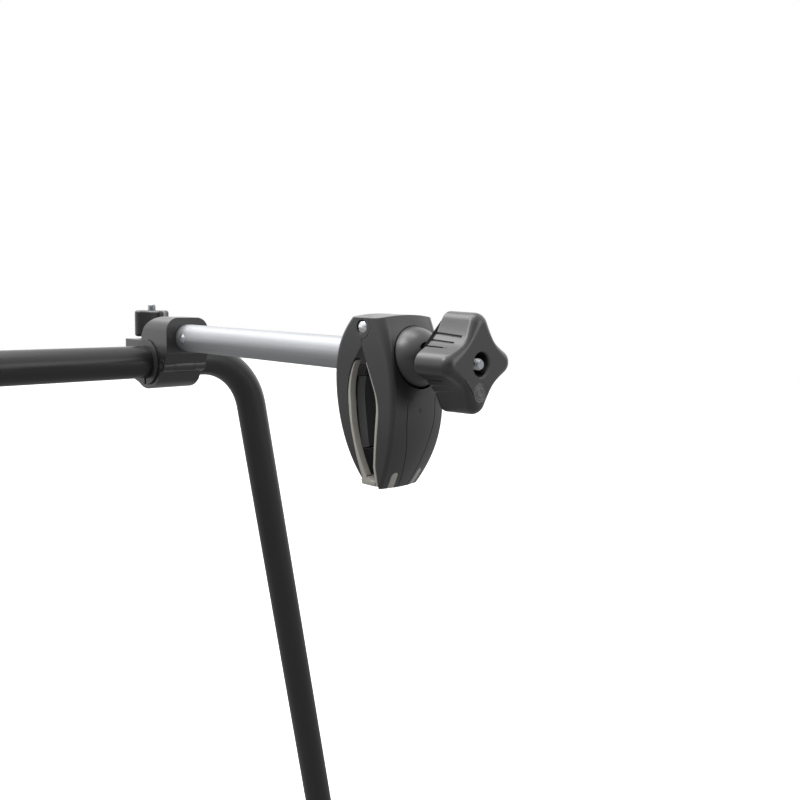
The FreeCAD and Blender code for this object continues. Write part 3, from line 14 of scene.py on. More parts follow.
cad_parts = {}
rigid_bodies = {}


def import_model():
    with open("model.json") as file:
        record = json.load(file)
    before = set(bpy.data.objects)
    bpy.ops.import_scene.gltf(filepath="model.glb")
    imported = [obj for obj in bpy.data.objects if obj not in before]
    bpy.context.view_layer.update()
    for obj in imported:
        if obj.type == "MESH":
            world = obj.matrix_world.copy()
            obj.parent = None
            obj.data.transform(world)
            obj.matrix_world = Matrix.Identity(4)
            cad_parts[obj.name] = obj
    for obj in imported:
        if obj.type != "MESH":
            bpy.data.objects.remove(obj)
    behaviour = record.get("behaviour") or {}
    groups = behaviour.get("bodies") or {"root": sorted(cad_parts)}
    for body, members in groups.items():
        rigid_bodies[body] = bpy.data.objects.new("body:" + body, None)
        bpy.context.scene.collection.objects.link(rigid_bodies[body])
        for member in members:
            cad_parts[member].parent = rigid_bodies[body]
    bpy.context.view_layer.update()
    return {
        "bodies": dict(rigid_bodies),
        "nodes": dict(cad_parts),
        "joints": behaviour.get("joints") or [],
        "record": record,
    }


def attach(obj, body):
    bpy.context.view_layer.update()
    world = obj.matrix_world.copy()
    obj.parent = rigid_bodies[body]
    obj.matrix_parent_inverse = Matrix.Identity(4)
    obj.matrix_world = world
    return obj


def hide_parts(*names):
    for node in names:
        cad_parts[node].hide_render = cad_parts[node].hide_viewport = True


LOG = logging.getLogger("bike_holder")
MM = 0.001
WHITE = (1.0, 1.0, 1.0, 1.0)
# Numbers of the sockets of a Mix node, where several share one name.
SHARE_IN = 0
NUMBERS_IN, NUMBER_OUT = (2, 3), 0
COLOURS_IN, COLOUR_OUT = (6, 7), 2
MERGE_WITHIN = 0.002 * MM
SHARP_DEGREES = 40
FACING = 0.9


def linear(code: str) -> tuple[float, float, float, float]:
    """Turn an sRGB hex colour into Blender's linear colour.

    Args:
        code: Six hex digits, with or without the hash.

    Returns:
        Red, green, blue and an alpha of 1, all linear.
    """
    digits = code.lstrip("#")
    parts = [int(digits[i:i + 2], 16) / 255 for i in (0, 2, 4)]
    flat = [c / 12.92 if c <= 0.04045 else ((c + 0.055) / 1.055) ** 2.4 for c in parts]
    return flat[0], flat[1], flat[2], 1.0


def add_node(tree: bpy.types.NodeTree, kind: str, settings: dict | None = None,
             links: dict | None = None) -> bpy.types.Node:
    """Add one shader node with its settings and its incoming links.

    Args:
        tree: Node tree that takes the node.
        kind: Blender's name of the node type.
        settings: Attributes by name, and socket values by socket name or number.
        links: Output sockets by the name or number of the input they feed.

    Returns:
        The new node.
    """
    node = tree.nodes.new(kind)
    for key, value in (settings or {}).items():
        if isinstance(key, int) or key in node.inputs:
            node.inputs[key].default_value = value
        else:
            setattr(node, key, value)
    for key, socket in (links or {}).items():
        tree.links.new(socket, node.inputs[key])
    return node


def blank_material(name: str) -> tuple[bpy.types.Material, bpy.types.NodeTree]:
    """Make an empty node material with a surface output.

    Args:
        name: Name of the finish.

    Returns:
        The material and its node tree, which holds only the output node.
    """
    material = bpy.data.materials.new(name)
    material.use_nodes = True
    tree = material.node_tree
    tree.nodes.clear()
    return material, tree


def surface(tree: bpy.types.NodeTree, settings: dict, links: dict) -> None:
    """Add the shader and join it to a surface output.

    Args:
        tree: Node tree of the finish.
        settings: Plain values of the shader's sockets.
        links: Output sockets by the shader input they feed.
    """
    shader = add_node(tree, "ShaderNodeBsdfPrincipled", settings, links)
    add_node(tree, "ShaderNodeOutputMaterial", {}, {"Surface": shader.outputs["BSDF"]})


def object_place(tree: bpy.types.NodeTree) -> bpy.types.NodeSocket:
    """Give the place on the piece, in metres."""
    return add_node(tree, "ShaderNodeTexCoord").outputs["Object"]


def noise(tree: bpy.types.NodeTree, place: bpy.types.NodeSocket, size_mm: float,
          detail: float, roughness: float = 0.5) -> bpy.types.NodeSocket:
    """Add a cloudy pattern.

    Args:
        tree: Node tree of the finish.
        place: Place that the pattern follows.
        size_mm: Size of its largest spots.
        detail: How many finer layers lie on them.
        roughness: Strength of the finer layers.

    Returns:
        The pattern, 0 to 1.
    """
    return add_node(tree, "ShaderNodeTexNoise",
                    {"Scale": 1 / (size_mm * MM), "Detail": detail, "Roughness": roughness},
                    {"Vector": place}).outputs["Fac"]


def two_tone(tree: bpy.types.NodeTree, share: bpy.types.NodeSocket, first: str,
             second: str) -> bpy.types.NodeSocket:
    """Blend two colours.

    Args:
        tree: Node tree of the finish.
        share: Share of the second colour.
        first: First colour, sRGB hex.
        second: Second colour, sRGB hex.

    Returns:
        The blended colour.
    """
    colours = dict(zip(COLOURS_IN, (linear(first), linear(second))))
    return add_node(tree, "ShaderNodeMix", {"data_type": "RGBA", **colours},
                    {SHARE_IN: share}).outputs[COLOUR_OUT]


def spread(tree: bpy.types.NodeTree, pattern: bpy.types.NodeSocket, value: float,
           below: float, above: float) -> bpy.types.NodeSocket:
    """Let a value vary with a pattern.

    Args:
        tree: Node tree of the finish.
        pattern: Pattern, 0 to 1.
        value: Value to vary.
        below: How far it drops.
        above: How far it rises.

    Returns:
        The varied value.
    """
    return add_node(tree, "ShaderNodeMapRange",
                    {"To Min": value - below, "To Max": value + above},
                    {"Value": pattern}).outputs["Result"]


def relief(tree: bpy.types.NodeTree, height: bpy.types.NodeSocket, strength: float,
           depth_mm: float, normal: bpy.types.NodeSocket | None = None) -> bpy.types.NodeSocket:
    """Turn a pattern into a fine relief.

    Args:
        tree: Node tree of the finish.
        height: Pattern, 0 to 1.
        strength: Share of the relief that shows.
        depth_mm: Depth of the relief.
        normal: Normal of an earlier relief that this one lies on.

    Returns:
        The normal of the relief.
    """
    links = {"Height": height}
    if normal is not None:
        links["Normal"] = normal
    return add_node(tree, "ShaderNodeBump", {"Strength": strength, "Distance": depth_mm * MM},
                    links).outputs["Normal"]


@dataclass(frozen=True)
class MouldedNylon:
    """Glass-filled nylon from a spark-eroded mould: fine even grain, soft sheen, dark."""

    name: str
    base: str
    light: str
    roughness: float
    cloud_mm: float = 38.0
    grain_mm: float = 0.55
    grain_depth_mm: float = 0.018
    edge_mm: float = 0.5
    edge_samples: int = 6
    skin: float = 0.5
    skin_roughness: float = 0.34
    refraction: float = 1.53

    def make(self) -> bpy.types.Material:
        """Build the finish.

        Returns:
            The finished material.
        """
        material, tree = blank_material(self.name)
        place = object_place(tree)
        cloud = noise(tree, place, self.cloud_mm, 4.0, 0.6)
        grain = noise(tree, place, self.grain_mm, 3.0, 0.55)
        edge = add_node(tree, "ShaderNodeBevel",
                        {"samples": self.edge_samples, "Radius": self.edge_mm * MM})
        normal = relief(tree, grain, 0.5, self.grain_depth_mm, edge.outputs["Normal"])
        surface(tree, {"IOR": self.refraction, "Coat Weight": self.skin,
                       "Coat Roughness": self.skin_roughness},
                {"Base Color": two_tone(tree, cloud, self.base, self.light),
                 "Roughness": spread(tree, grain, self.roughness, 0.05, 0.06),
                 "Normal": normal, "Coat Normal": normal})
        return material


@dataclass(frozen=True)
class SatinAluminium:
    """Drawn and anodised aluminium tube: fine lengthwise draw lines under a satin skin."""

    name: str = "satin_anodised_aluminium"
    base: str = "#B4B5B7"
    dark: str = "#A2A4A7"
    roughness: float = 0.54
    line_mm: float = 0.8
    line_depth_mm: float = 0.01
    squeeze: tuple[float, float, float] = (1.0, 0.012, 1.0)

    def make(self) -> bpy.types.Material:
        """Build the finish, with its lines along the Y axis.

        Returns:
            The finished material.
        """
        material, tree = blank_material(self.name)
        drawn = add_node(tree, "ShaderNodeMapping", {"Scale": self.squeeze},
                         {"Vector": object_place(tree)})
        lines = noise(tree, drawn.outputs["Vector"], self.line_mm, 3.0, 0.6)
        surface(tree, {"Metallic": 1.0},
                {"Base Color": two_tone(tree, lines, self.base, self.dark),
                 "Roughness": spread(tree, lines, self.roughness, 0.06, 0.08),
                 "Normal": relief(tree, lines, 0.2, self.line_depth_mm)})
        return material


@dataclass(frozen=True)
class PowderCoat:
    """Satin black powder coat baked on steel: faint orange peel, even soft gloss."""

    name: str = "black_powder_coat"
    base: str = "#141416"
    light: str = "#1A1A1C"
    roughness: float = 0.33
    cloud_mm: float = 60.0
    peel_mm: float = 1.6
    peel_depth_mm: float = 0.03
    gloss: float = 0.15
    gloss_roughness: float = 0.2
    refraction: float = 1.5

    def make(self) -> bpy.types.Material:
        """Build the finish.

        Returns:
            The finished material.
        """
        material, tree = blank_material(self.name)
        place = object_place(tree)
        peel = add_node(tree, "ShaderNodeTexVoronoi",
                        {"Scale": 1 / (self.peel_mm * MM), "feature": "SMOOTH_F1"},
                        {"Vector": place})
        cloud = noise(tree, place, self.cloud_mm, 3.0)
        surface(tree, {"IOR": self.refraction, "Coat Weight": self.gloss,
                       "Coat Roughness": self.gloss_roughness},
                {"Base Color": two_tone(tree, cloud, self.base, self.light),
                 "Roughness": spread(tree, cloud, self.roughness, 0.04, 0.07),
                 "Normal": relief(tree, peel.outputs["Distance"], 0.25, self.peel_depth_mm)})
        return material


@dataclass(frozen=True)
class SoftRubber:
    """Moulded soft rubber: matt, slightly dusty, with a fine sandy skin."""

    name: str
    base: str
    light: str
    roughness: float = 0.72
    dust_mm: float = 9.0
    grain_mm: float = 0.7
    grain_depth_mm: float = 0.03
    ridge_mm: float = 0.0
    ridge_depth_mm: float = 0.25
    haze: float = 0.1
    refraction: float = 1.5

    def make(self) -> bpy.types.Material:
        """Build the finish, ridged across the Z axis where it has ridges.

        Returns:
            The finished material.
        """
        material, tree = blank_material(self.name)
        place = object_place(tree)
        dust = noise(tree, place, self.dust_mm, 5.0, 0.65)
        grain = noise(tree, place, self.grain_mm, 2.0)
        normal = relief(tree, grain, 0.5, self.grain_depth_mm)
        if self.ridge_mm:
            # A wave texture of scale 1 has 20 radians to the metre.
            ridges = add_node(tree, "ShaderNodeTexWave",
                              {"wave_type": "BANDS", "bands_direction": "Z",
                               "Scale": math.tau / 20 / (self.ridge_mm * MM)}, {"Vector": place})
            normal = relief(tree, ridges.outputs["Fac"], 1.0, self.ridge_depth_mm, normal)
        surface(tree, {"IOR": self.refraction, "Sheen Weight": self.haze},
                {"Base Color": two_tone(tree, dust, self.base, self.light),
                 "Roughness": spread(tree, dust, self.roughness, 0.05, 0.1),
                 "Normal": normal})
        return material


@dataclass(frozen=True)
class PlatedSteel:
    """Turned metal with a bright skin: fine turning marks and a faint mottling."""

    name: str
    base: str
    dark: str
    roughness: float
    cloud_mm: float = 6.0
    mark_mm: float = 0.35
    mark_depth_mm: float = 0.01

    def make(self) -> bpy.types.Material:
        """Build the finish.

        Returns:
            The finished material.
        """
        material, tree = blank_material(self.name)
        place = object_place(tree)
        cloud = noise(tree, place, self.cloud_mm, 4.0)
        marks = noise(tree, place, self.mark_mm, 2.0)
        surface(tree, {"Metallic": 1.0},
                {"Base Color": two_tone(tree, cloud, self.base, self.dark),
                 "Roughness": spread(tree, cloud, self.roughness, 0.05, 0.08),
                 "Normal": relief(tree, marks, 0.15, self.mark_depth_mm)})
        return material


class Finish(Enum):
    """The finishes of the holder, each named by what it really is."""

    HEAD_NYLON = MouldedNylon("charcoal_glass_filled_nylon", "#171718", "#1C1C1D", roughness=0.35,
                              skin=0.6)
    PLUG_NYLON = MouldedNylon("black_nylon", "#222224", "#29292B", roughness=0.5)
    INLAY_NYLON = MouldedNylon("grey_nylon", "#4C4C4E", "#565658", roughness=0.32, grain_mm=0.3)
    ARM_TUBE = SatinAluminium()
    BOW_PAINT = PowderCoat()
    LIP_RUBBER = SoftRubber("grey_soft_rubber", "#98968F", "#A5A39D")
    CLIP_RUBBER = SoftRubber("ribbed_grey_soft_rubber", "#A8A5A0", "#B4B1AC", ridge_mm=1.7)
    PAD_RUBBER = SoftRubber("black_soft_rubber", "#151516", "#1D1D1E", roughness=0.66)
    RIB_RUBBER = SoftRubber("charcoal_soft_rubber", "#6A6A6C", "#747476", roughness=0.55)
    POLISHED = PlatedSteel("polished_chrome", "#E4E5E8", "#D2D4D8", 0.08)
    ZINC = PlatedSteel("zinc_plated_steel", "#C3C6CA", "#A9ADB3", 0.28)
    BRASS = PlatedSteel("turned_brass", "#C9A55C", "#B08C45", 0.3)


SLOT_FINISH = {
    "black_tube": Finish.BOW_PAINT,
    "silver_tube": Finish.ARM_TUBE,
    "charcoal_plastic": Finish.HEAD_NYLON,
    "black_plastic": Finish.PLUG_NYLON,
    "grey_rubber": Finish.LIP_RUBBER,
    "black_rubber": Finish.PAD_RUBBER,
    "bright_steel": Finish.POLISHED,
    "zinc_steel": Finish.ZINC,
    "brass": Finish.BRASS,
}


@dataclass
class Workshop:
    """Keeps each finish once and dresses CAD nodes and new pieces with it."""

    made: dict[Finish, bpy.types.Material] = field(default_factory=dict)

    def material(self, finish: Finish) -> bpy.types.Material:
        """Give the material of a finish, made on first use.

        Args:
            finish: The finish wanted.

        Returns:
            Its material.
        """
        if finish not in self.made:
            self.made[finish] = finish.value.make()
        return self.made[finish]

    def dress(self, piece: bpy.types.Object, finish: Finish) -> None:
        """Give a piece one finish all over.

        Args:
            piece: Object to dress.
            finish: Its finish.
        """
        piece.data.materials.clear()
        piece.data.materials.append(self.material(finish))

    def dress_frame(self, frame: dict) -> None:
        """Dress every CAD node by its material slot.
        """
        slots = {entry["node"]: entry["material_slot"] for entry in frame["record"]["subparts"]}
        for name, node in frame["nodes"].items():
            self.dress(node, SLOT_FINISH[slots[name]])


def deselect() -> None:
    """Leave object mode with nothing selected."""
    if bpy.context.object and bpy.context.object.mode != "OBJECT":
        bpy.ops.object.mode_set(mode="OBJECT")
    bpy.ops.object.select_all(action="DESELECT")


def make_active(piece: bpy.types.Object) -> None:
    """Select one piece alone and make it active.

    Args:
        piece: The piece.
    """
    deselect()
    piece.select_set(True)
    bpy.context.view_layer.objects.active = piece


def pick(piece: bpy.types.Object, test: Callable[[Any], bool], what: str = "faces") -> None:
    """Select parts of a piece in edit mode by a test of their place or normal.

    Args:
        piece: Piece that is in edit mode.
        test: Says of one vertex or face whether it is wanted.
        what: Which of "verts" or "faces" are tested.
    """
    bpy.ops.mesh.select_mode(type={"verts": "VERT", "faces": "FACE"}[what])
    bpy.ops.mesh.select_all(action="DESELECT")
    mesh = bmesh.from_edit_mesh(piece.data)
    for item in getattr(mesh, what):
        if test(item):
            item.select_set(True)
    mesh.select_flush_mode()
    bmesh.update_edit_mesh(piece.data)


def apply_modifier(piece: bpy.types.Object, kind: str, **settings: Any) -> None:
    """Add one modifier to a piece and apply it.

    Args:
        piece: Piece that takes it.
        kind: Blender's name of the modifier type.
        settings: Its attributes by name.
    """
    make_active(piece)
    modifier = piece.modifiers.new(kind.lower(), kind)
    for key, value in settings.items():
        setattr(modifier, key, value)
    bpy.ops.object.modifier_apply(modifier=modifier.name)


def settle(piece: bpy.types.Object) -> None:
    """Move a piece's place, turn and scale into its mesh."""
    make_active(piece)
    bpy.ops.object.transform_apply(location=True, rotation=True, scale=True)


def smooth(piece: bpy.types.Object, degrees: float = 35.0) -> None:
    """Shade a piece smooth up to an angle between its faces."""
    make_active(piece)
    bpy.ops.object.shade_smooth_by_angle(angle=math.radians(degrees))


def roll_edges(piece: bpy.types.Object, radius: float, segments: int = 3,
               **settings: Any) -> None:
    """Roll the sharp edges of a piece over.

    Args:
        piece: The piece.
        radius: Radius of the rolled edges.
        segments: How many strips make the round.
        settings: More attributes of the bevel, by name.
    """
    apply_modifier(piece, "BEVEL", width=radius, segments=segments, limit_method="ANGLE",
                   angle_limit=math.radians(SHARP_DEGREES), **settings)


def turned_relief(name: str, at: tuple[float, float, float], radius: float, height: float,
                  sides: int, steps: tuple[tuple[float, float], ...],
                  edge: float) -> bpy.types.Object:
    """Make a low round relief that faces the front, ring by ring from its rim inward.

    Args:
        name: Name of the piece.
        at: Its middle.
        radius: Its radius.
        height: Its height along the Y axis.
        sides: How many flats make its round.
        steps: How far each ring lies inside the last, and how far it is sunk.
        edge: Radius of its rolled edges.

    Returns:
        The piece, in place.
    """
    deselect()
    bpy.ops.mesh.primitive_cylinder_add(vertices=sides, radius=radius, depth=height, location=at,
                                        rotation=(math.radians(90), 0, 0))
    piece = bpy.context.object
    piece.name = name
    settle(piece)
    bpy.ops.object.mode_set(mode="EDIT")
    pick(piece, lambda face: face.normal.y < -FACING)
    for inset, sink in steps:
        bpy.ops.mesh.inset(thickness=inset)
        bpy.ops.mesh.extrude_region_move(TRANSFORM_OT_translate={"value": (0, sink, 0)})
    bpy.ops.object.mode_set(mode="OBJECT")
    roll_edges(piece, edge, segments=2)
    smooth(piece)
    return piece


def merged_copy(node: bpy.types.Object, name: str, flat: bool = True) -> bpy.types.Object:
    """Copy a CAD node as one joined skin.

    Args:
        node: The CAD node.
        name: Name of the copy.
        flat: Whether its flat faces are made whole.

    Returns:
        The copy, with its own mesh.
    """
    deselect()
    piece = bpy.data.objects.new(name, node.data.copy())
    bpy.context.scene.collection.objects.link(piece)
    make_active(piece)
    bpy.ops.object.mode_set(mode="EDIT")
    bpy.ops.mesh.select_all(action="SELECT")
    bpy.ops.mesh.remove_doubles(threshold=MERGE_WITHIN)
    if flat:
        bpy.ops.mesh.dissolve_limited(angle_limit=math.radians(1.0))
    bpy.ops.object.mode_set(mode="OBJECT")
    return piece


@dataclass
class SubAssembly:
    """Shared work of the sub-assemblies: finishing a piece and reporting it."""

    frame: dict
    workshop: Workshop

    def finish(self, piece: bpy.types.Object, body: str, finish: Finish, slot: str,
               *nodes: str) -> None:
        """Dress a piece, let it ride on a body and stand for CAD nodes.

        Args:
            piece: The new piece.
            body: CAD body that carries it.
            finish: Its finish.
            slot: Material slot that the finish belongs to. Not used.
            nodes: CAD nodes that the piece stands for.
        """
        if not piece.data.materials:
            self.workshop.dress(piece, finish)
        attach(piece, body)
        if nodes:
            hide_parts(*nodes)
        LOG.info("%s: %d faces on %s", piece.name, len(piece.data.polygons), body)


@dataclass
class ThreadedBar(SubAssembly):
    """Steel bar with a rolled metric thread all along and a chamfered tip."""

    name: str
    node: str
    body: str
    foot: tuple[float, float, float]
    along: tuple[float, float, float]
    length: float
    diameter: float = 8 * MM
    pitch: float = 1.25 * MM
    thread_depth: float = 0.65 * MM
    zigzag: tuple[tuple[float, float], ...] = ((1, 0.36), (0, 0.14), (-1, 0.36), (0, 0.14))
    steps: int = 20
    chamfer: float = 1.2 * MM
    chamfer_cuts: tuple[float, ...] = (1.0, 0.66, 0.33)
    chamfer_share: float = 0.93

    def cut_thread(self) -> bpy.types.Object:
        """Turn the thread's zigzag round the bar as one long screw.

        Returns:
            The open screw skin about the Z axis, a turn longer at each end.
        """
        deselect()
        root = self.diameter / 2 - self.thread_depth
        bpy.ops.mesh.primitive_plane_add(size=MM, location=(root, 0, -self.pitch))
        piece = bpy.context.object
        piece.name = self.name
        settle(piece)
        bpy.ops.object.mode_set(mode="EDIT")
        bpy.ops.mesh.select_mode(type="VERT")
        bpy.ops.mesh.select_all(action="SELECT")
        bpy.ops.mesh.merge(type="CENTER")
        for out, up in self.zigzag:
            step = (out * self.thread_depth, 0, up * self.pitch)
            bpy.ops.mesh.extrude_region_move(TRANSFORM_OT_translate={"value": step})
        bpy.ops.object.mode_set(mode="OBJECT")
        turns = math.ceil(self.length / self.pitch) + 2
        apply_modifier(piece, "SCREW", axis="Z", angle=math.tau, screw_offset=self.pitch,
                       iterations=turns, steps=self.steps, render_steps=self.steps,
                       use_merge_vertices=True, merge_threshold=0.001 * MM,
                       use_normal_calculate=True)
        return piece

    def trim_ends(self, piece: bpy.types.Object) -> None:
        """Saw both ends flat and turn a chamfer on the tip.

        Args:
            piece: The screw skin about the Z axis.
        """
        make_active(piece)
        bpy.ops.object.mode_set(mode="EDIT")
        bpy.ops.mesh.select_all(action="SELECT")
        bpy.ops.mesh.remove_doubles(threshold=MERGE_WITHIN)
        bpy.ops.mesh.bisect(plane_co=(0, 0, 0), plane_no=(0, 0, 1), use_fill=True,
                            clear_inner=True)
        bpy.ops.mesh.select_all(action="SELECT")
        bpy.ops.mesh.bisect(plane_co=(0, 0, self.length), plane_no=(0, 0, 1), use_fill=True,
                            clear_outer=True)
        narrower = (self.chamfer_share, self.chamfer_share, 1)
        for cut in self.chamfer_cuts:
            level = self.length - self.chamfer * cut
            pick(piece, lambda vertex: vertex.co.z > level, "verts")
            bpy.ops.transform.resize(value=narrower, center_override=(0, 0, 0))
        bpy.ops.mesh.select_all(action="SELECT")
        bpy.ops.mesh.normals_make_consistent(inside=False)
        bpy.ops.object.mode_set(mode="OBJECT")

    def build(self) -> None:
        """Make the bar and put it in its node's place."""
        piece = self.cut_thread()
        self.trim_ends(piece)
        aim = Vector(self.along).to_track_quat("Z", "Y").to_matrix().to_4x4()
        piece.matrix_world = Matrix.Translation(self.foot) @ aim
        settle(piece)
        smooth(piece, 25)
        self.finish(piece, self.body, Finish.ZINC, "zinc_steel", self.node)


@dataclass
class JawHead(SubAssembly):
    """Soft parts and small moulding marks of the two-jaw head."""

    middle: float = 116 * MM
    rib_side: float = 12.5 * MM
    rib_reach: float = 3.52 * MM
    lip_round: float = 0.9 * MM
    bridge_top: float = 500.1 * MM
    bridge_slack: float = 0.03 * MM
    bridge_side: float = 17 * MM
    bridge_drop: float = 4 * MM
    pad_round: float = 0.8 * MM
    clip_round: float = 0.45 * MM
    mark_radius: float = 1.5 * MM
    mark_height: float = 0.5 * MM
    mark_sides: int = 40
    mark_steps: tuple[tuple[float, float], ...] = ((0.35 * MM, 0.22 * MM), (0.25 * MM, -0.08 * MM))
    mark_edge: float = 0.06 * MM
    mark_at: tuple[float, float, float] = (114.8 * MM, -330.65 * MM, 548.8 * MM)

    @staticmethod
    def soften(piece: bpy.types.Object, radius: float) -> None:
        """Roll the sharp edges of a piece over, as soft mouldings have them."""
        roll_edges(piece, radius, use_clamp_overlap=True, miter_outer="MITER_ARC")
        smooth(piece, SHARP_DEGREES)

    def rounded(self, node: str, name: str, radius: float) -> bpy.types.Object:
        """Copy a CAD node and soften its edges.

        Args:
            node: Name of the CAD node.
            name: Name of the piece.
            radius: Radius of the rolled edges.

        Returns:
            The rounded copy.
        """
        piece = merged_copy(self.frame["nodes"][node], name)
        self.soften(piece, radius)
        return piece

    def build_lips(self) -> None:
        """Make both soft lips with rolled edges, the bridge at their foot lowered."""
        for side in ("front", "rear"):
            lip = merged_copy(self.frame["nodes"][f"{side}_lip"], f"{side}_soft_lip")
            bpy.ops.object.mode_set(mode="EDIT")
            pick(lip, lambda vertex: abs(vertex.co.z - self.bridge_top) < self.bridge_slack
                 and abs(vertex.co.x - self.middle) < self.bridge_side, "verts")
            bpy.ops.transform.translate(value=(0, 0, -self.bridge_drop))
            bpy.ops.object.mode_set(mode="OBJECT")
            self.soften(lip, self.lip_round)
            self.finish(lip, side, Finish.LIP_RUBBER, "grey_rubber", f"{side}_lip")

    def build_pads(self) -> None:
        """Make both ribbed pads, the ribs in a paler rubber than their base."""
        for side in ("front", "rear"):
            pad = self.rounded(f"{side}_pad", f"{side}_ribbed_pad", self.pad_round)
            pad.data.materials.clear()
            for finish in (Finish.PAD_RUBBER, Finish.RIB_RUBBER):
                pad.data.materials.append(self.workshop.material(finish))
            for face in pad.data.polygons:
                off = abs(abs(face.center.x - self.middle) - self.rib_side)
                face.material_index = int(off < self.rib_reach)
            self.finish(pad, side, Finish.PAD_RUBBER, "black_rubber", f"{side}_pad")

    def build_clips(self) -> None:
        """Make the two ribbed ends of the front lip that show through the jaw's face."""
        for word in ("left", "right"):
            clip = self.rounded(f"{word}_lip_clip", f"{word}_ribbed_clip", self.clip_round)
            self.finish(clip, "front", Finish.CLIP_RUBBER, "grey_rubber", f"{word}_lip_clip")

    def build_mark(self) -> None:
        """Make the round ejector-pin mark on the front jaw's face: a flat in a low ring."""
        mark = turned_relief("ejector_mark", self.mark_at, self.mark_radius, self.mark_height,
                             self.mark_sides, self.mark_steps, self.mark_edge)
        self.finish(mark, "front", Finish.HEAD_NYLON, "charcoal_plastic")

    def build(self) -> None:
        """Make all the soft parts and marks of the head."""
        self.build_lips()
        self.build_pads()
        self.build_clips()
        self.build_mark()


@dataclass
class ThrustDome(SubAssembly):
    """Ball-shaped cap in the front jaw, with its shadow gap and its side slot."""

    anchor: tuple[float, float, float] = (116 * MM, -319.5 * MM, 603 * MM)
    share: tuple[float, float, float] = (0.962, 1.0, 0.965)
    slot_at: tuple[float, float, float] = (108.2 * MM, -337.8 * MM, 594.7 * MM)
    slot_out: tuple[float, float, float] = (-0.33, -0.855, 0.4)
    slot_along: tuple[float, float, float] = (0.8, 0.0, 0.6)
    slot_width: float = 3.0 * MM
    slot_length: float = 7.0 * MM
    slot_depth: float = 7.0 * MM
    slot_sides: int = 32
    smooth_degrees: float = 32.0

    def make_cutter(self) -> bpy.types.Object:
        """Make the oval tool that cuts the slot.

        Returns:
            The tool, in place.
        """
        deselect()
        bpy.ops.mesh.primitive_cylinder_add(vertices=self.slot_sides, radius=self.slot_width / 2,
                                            depth=2 * self.slot_depth)
        cutter = bpy.context.object
        bpy.ops.object.mode_set(mode="EDIT")
        bpy.ops.mesh.select_all(action="SELECT")
        bpy.ops.transform.resize(value=(self.slot_length / self.slot_width, 1, 1))
        bpy.ops.object.mode_set(mode="OBJECT")
        out = Vector(self.slot_out).normalized()
        side = out.cross(Vector(self.slot_along)).normalized()
        turn = Matrix((side.cross(out), side, out)).transposed().to_4x4()
        cutter.matrix_world = Matrix.Translation(self.slot_at) @ turn
        settle(cutter)
        return cutter

    def build(self) -> None:
        """Rework a copy of the dome: a little smaller than its seat, and slotted."""
        dome = merged_copy(self.frame["nodes"]["thrust_dome"], "ball_dome", flat=False)
        bpy.ops.object.mode_set(mode="EDIT")
        bpy.ops.mesh.select_all(action="SELECT")
        bpy.ops.transform.resize(value=self.share, center_override=self.anchor)
        bpy.ops.object.mode_set(mode="OBJECT")
        cutter = self.make_cutter()
        apply_modifier(dome, "BOOLEAN", object=cutter, operation="DIFFERENCE", solver="EXACT")
        bpy.data.objects.remove(cutter)
        smooth(dome, self.smooth_degrees)
        self.finish(dome, "front", Finish.HEAD_NYLON, "charcoal_plastic", "thrust_dome")


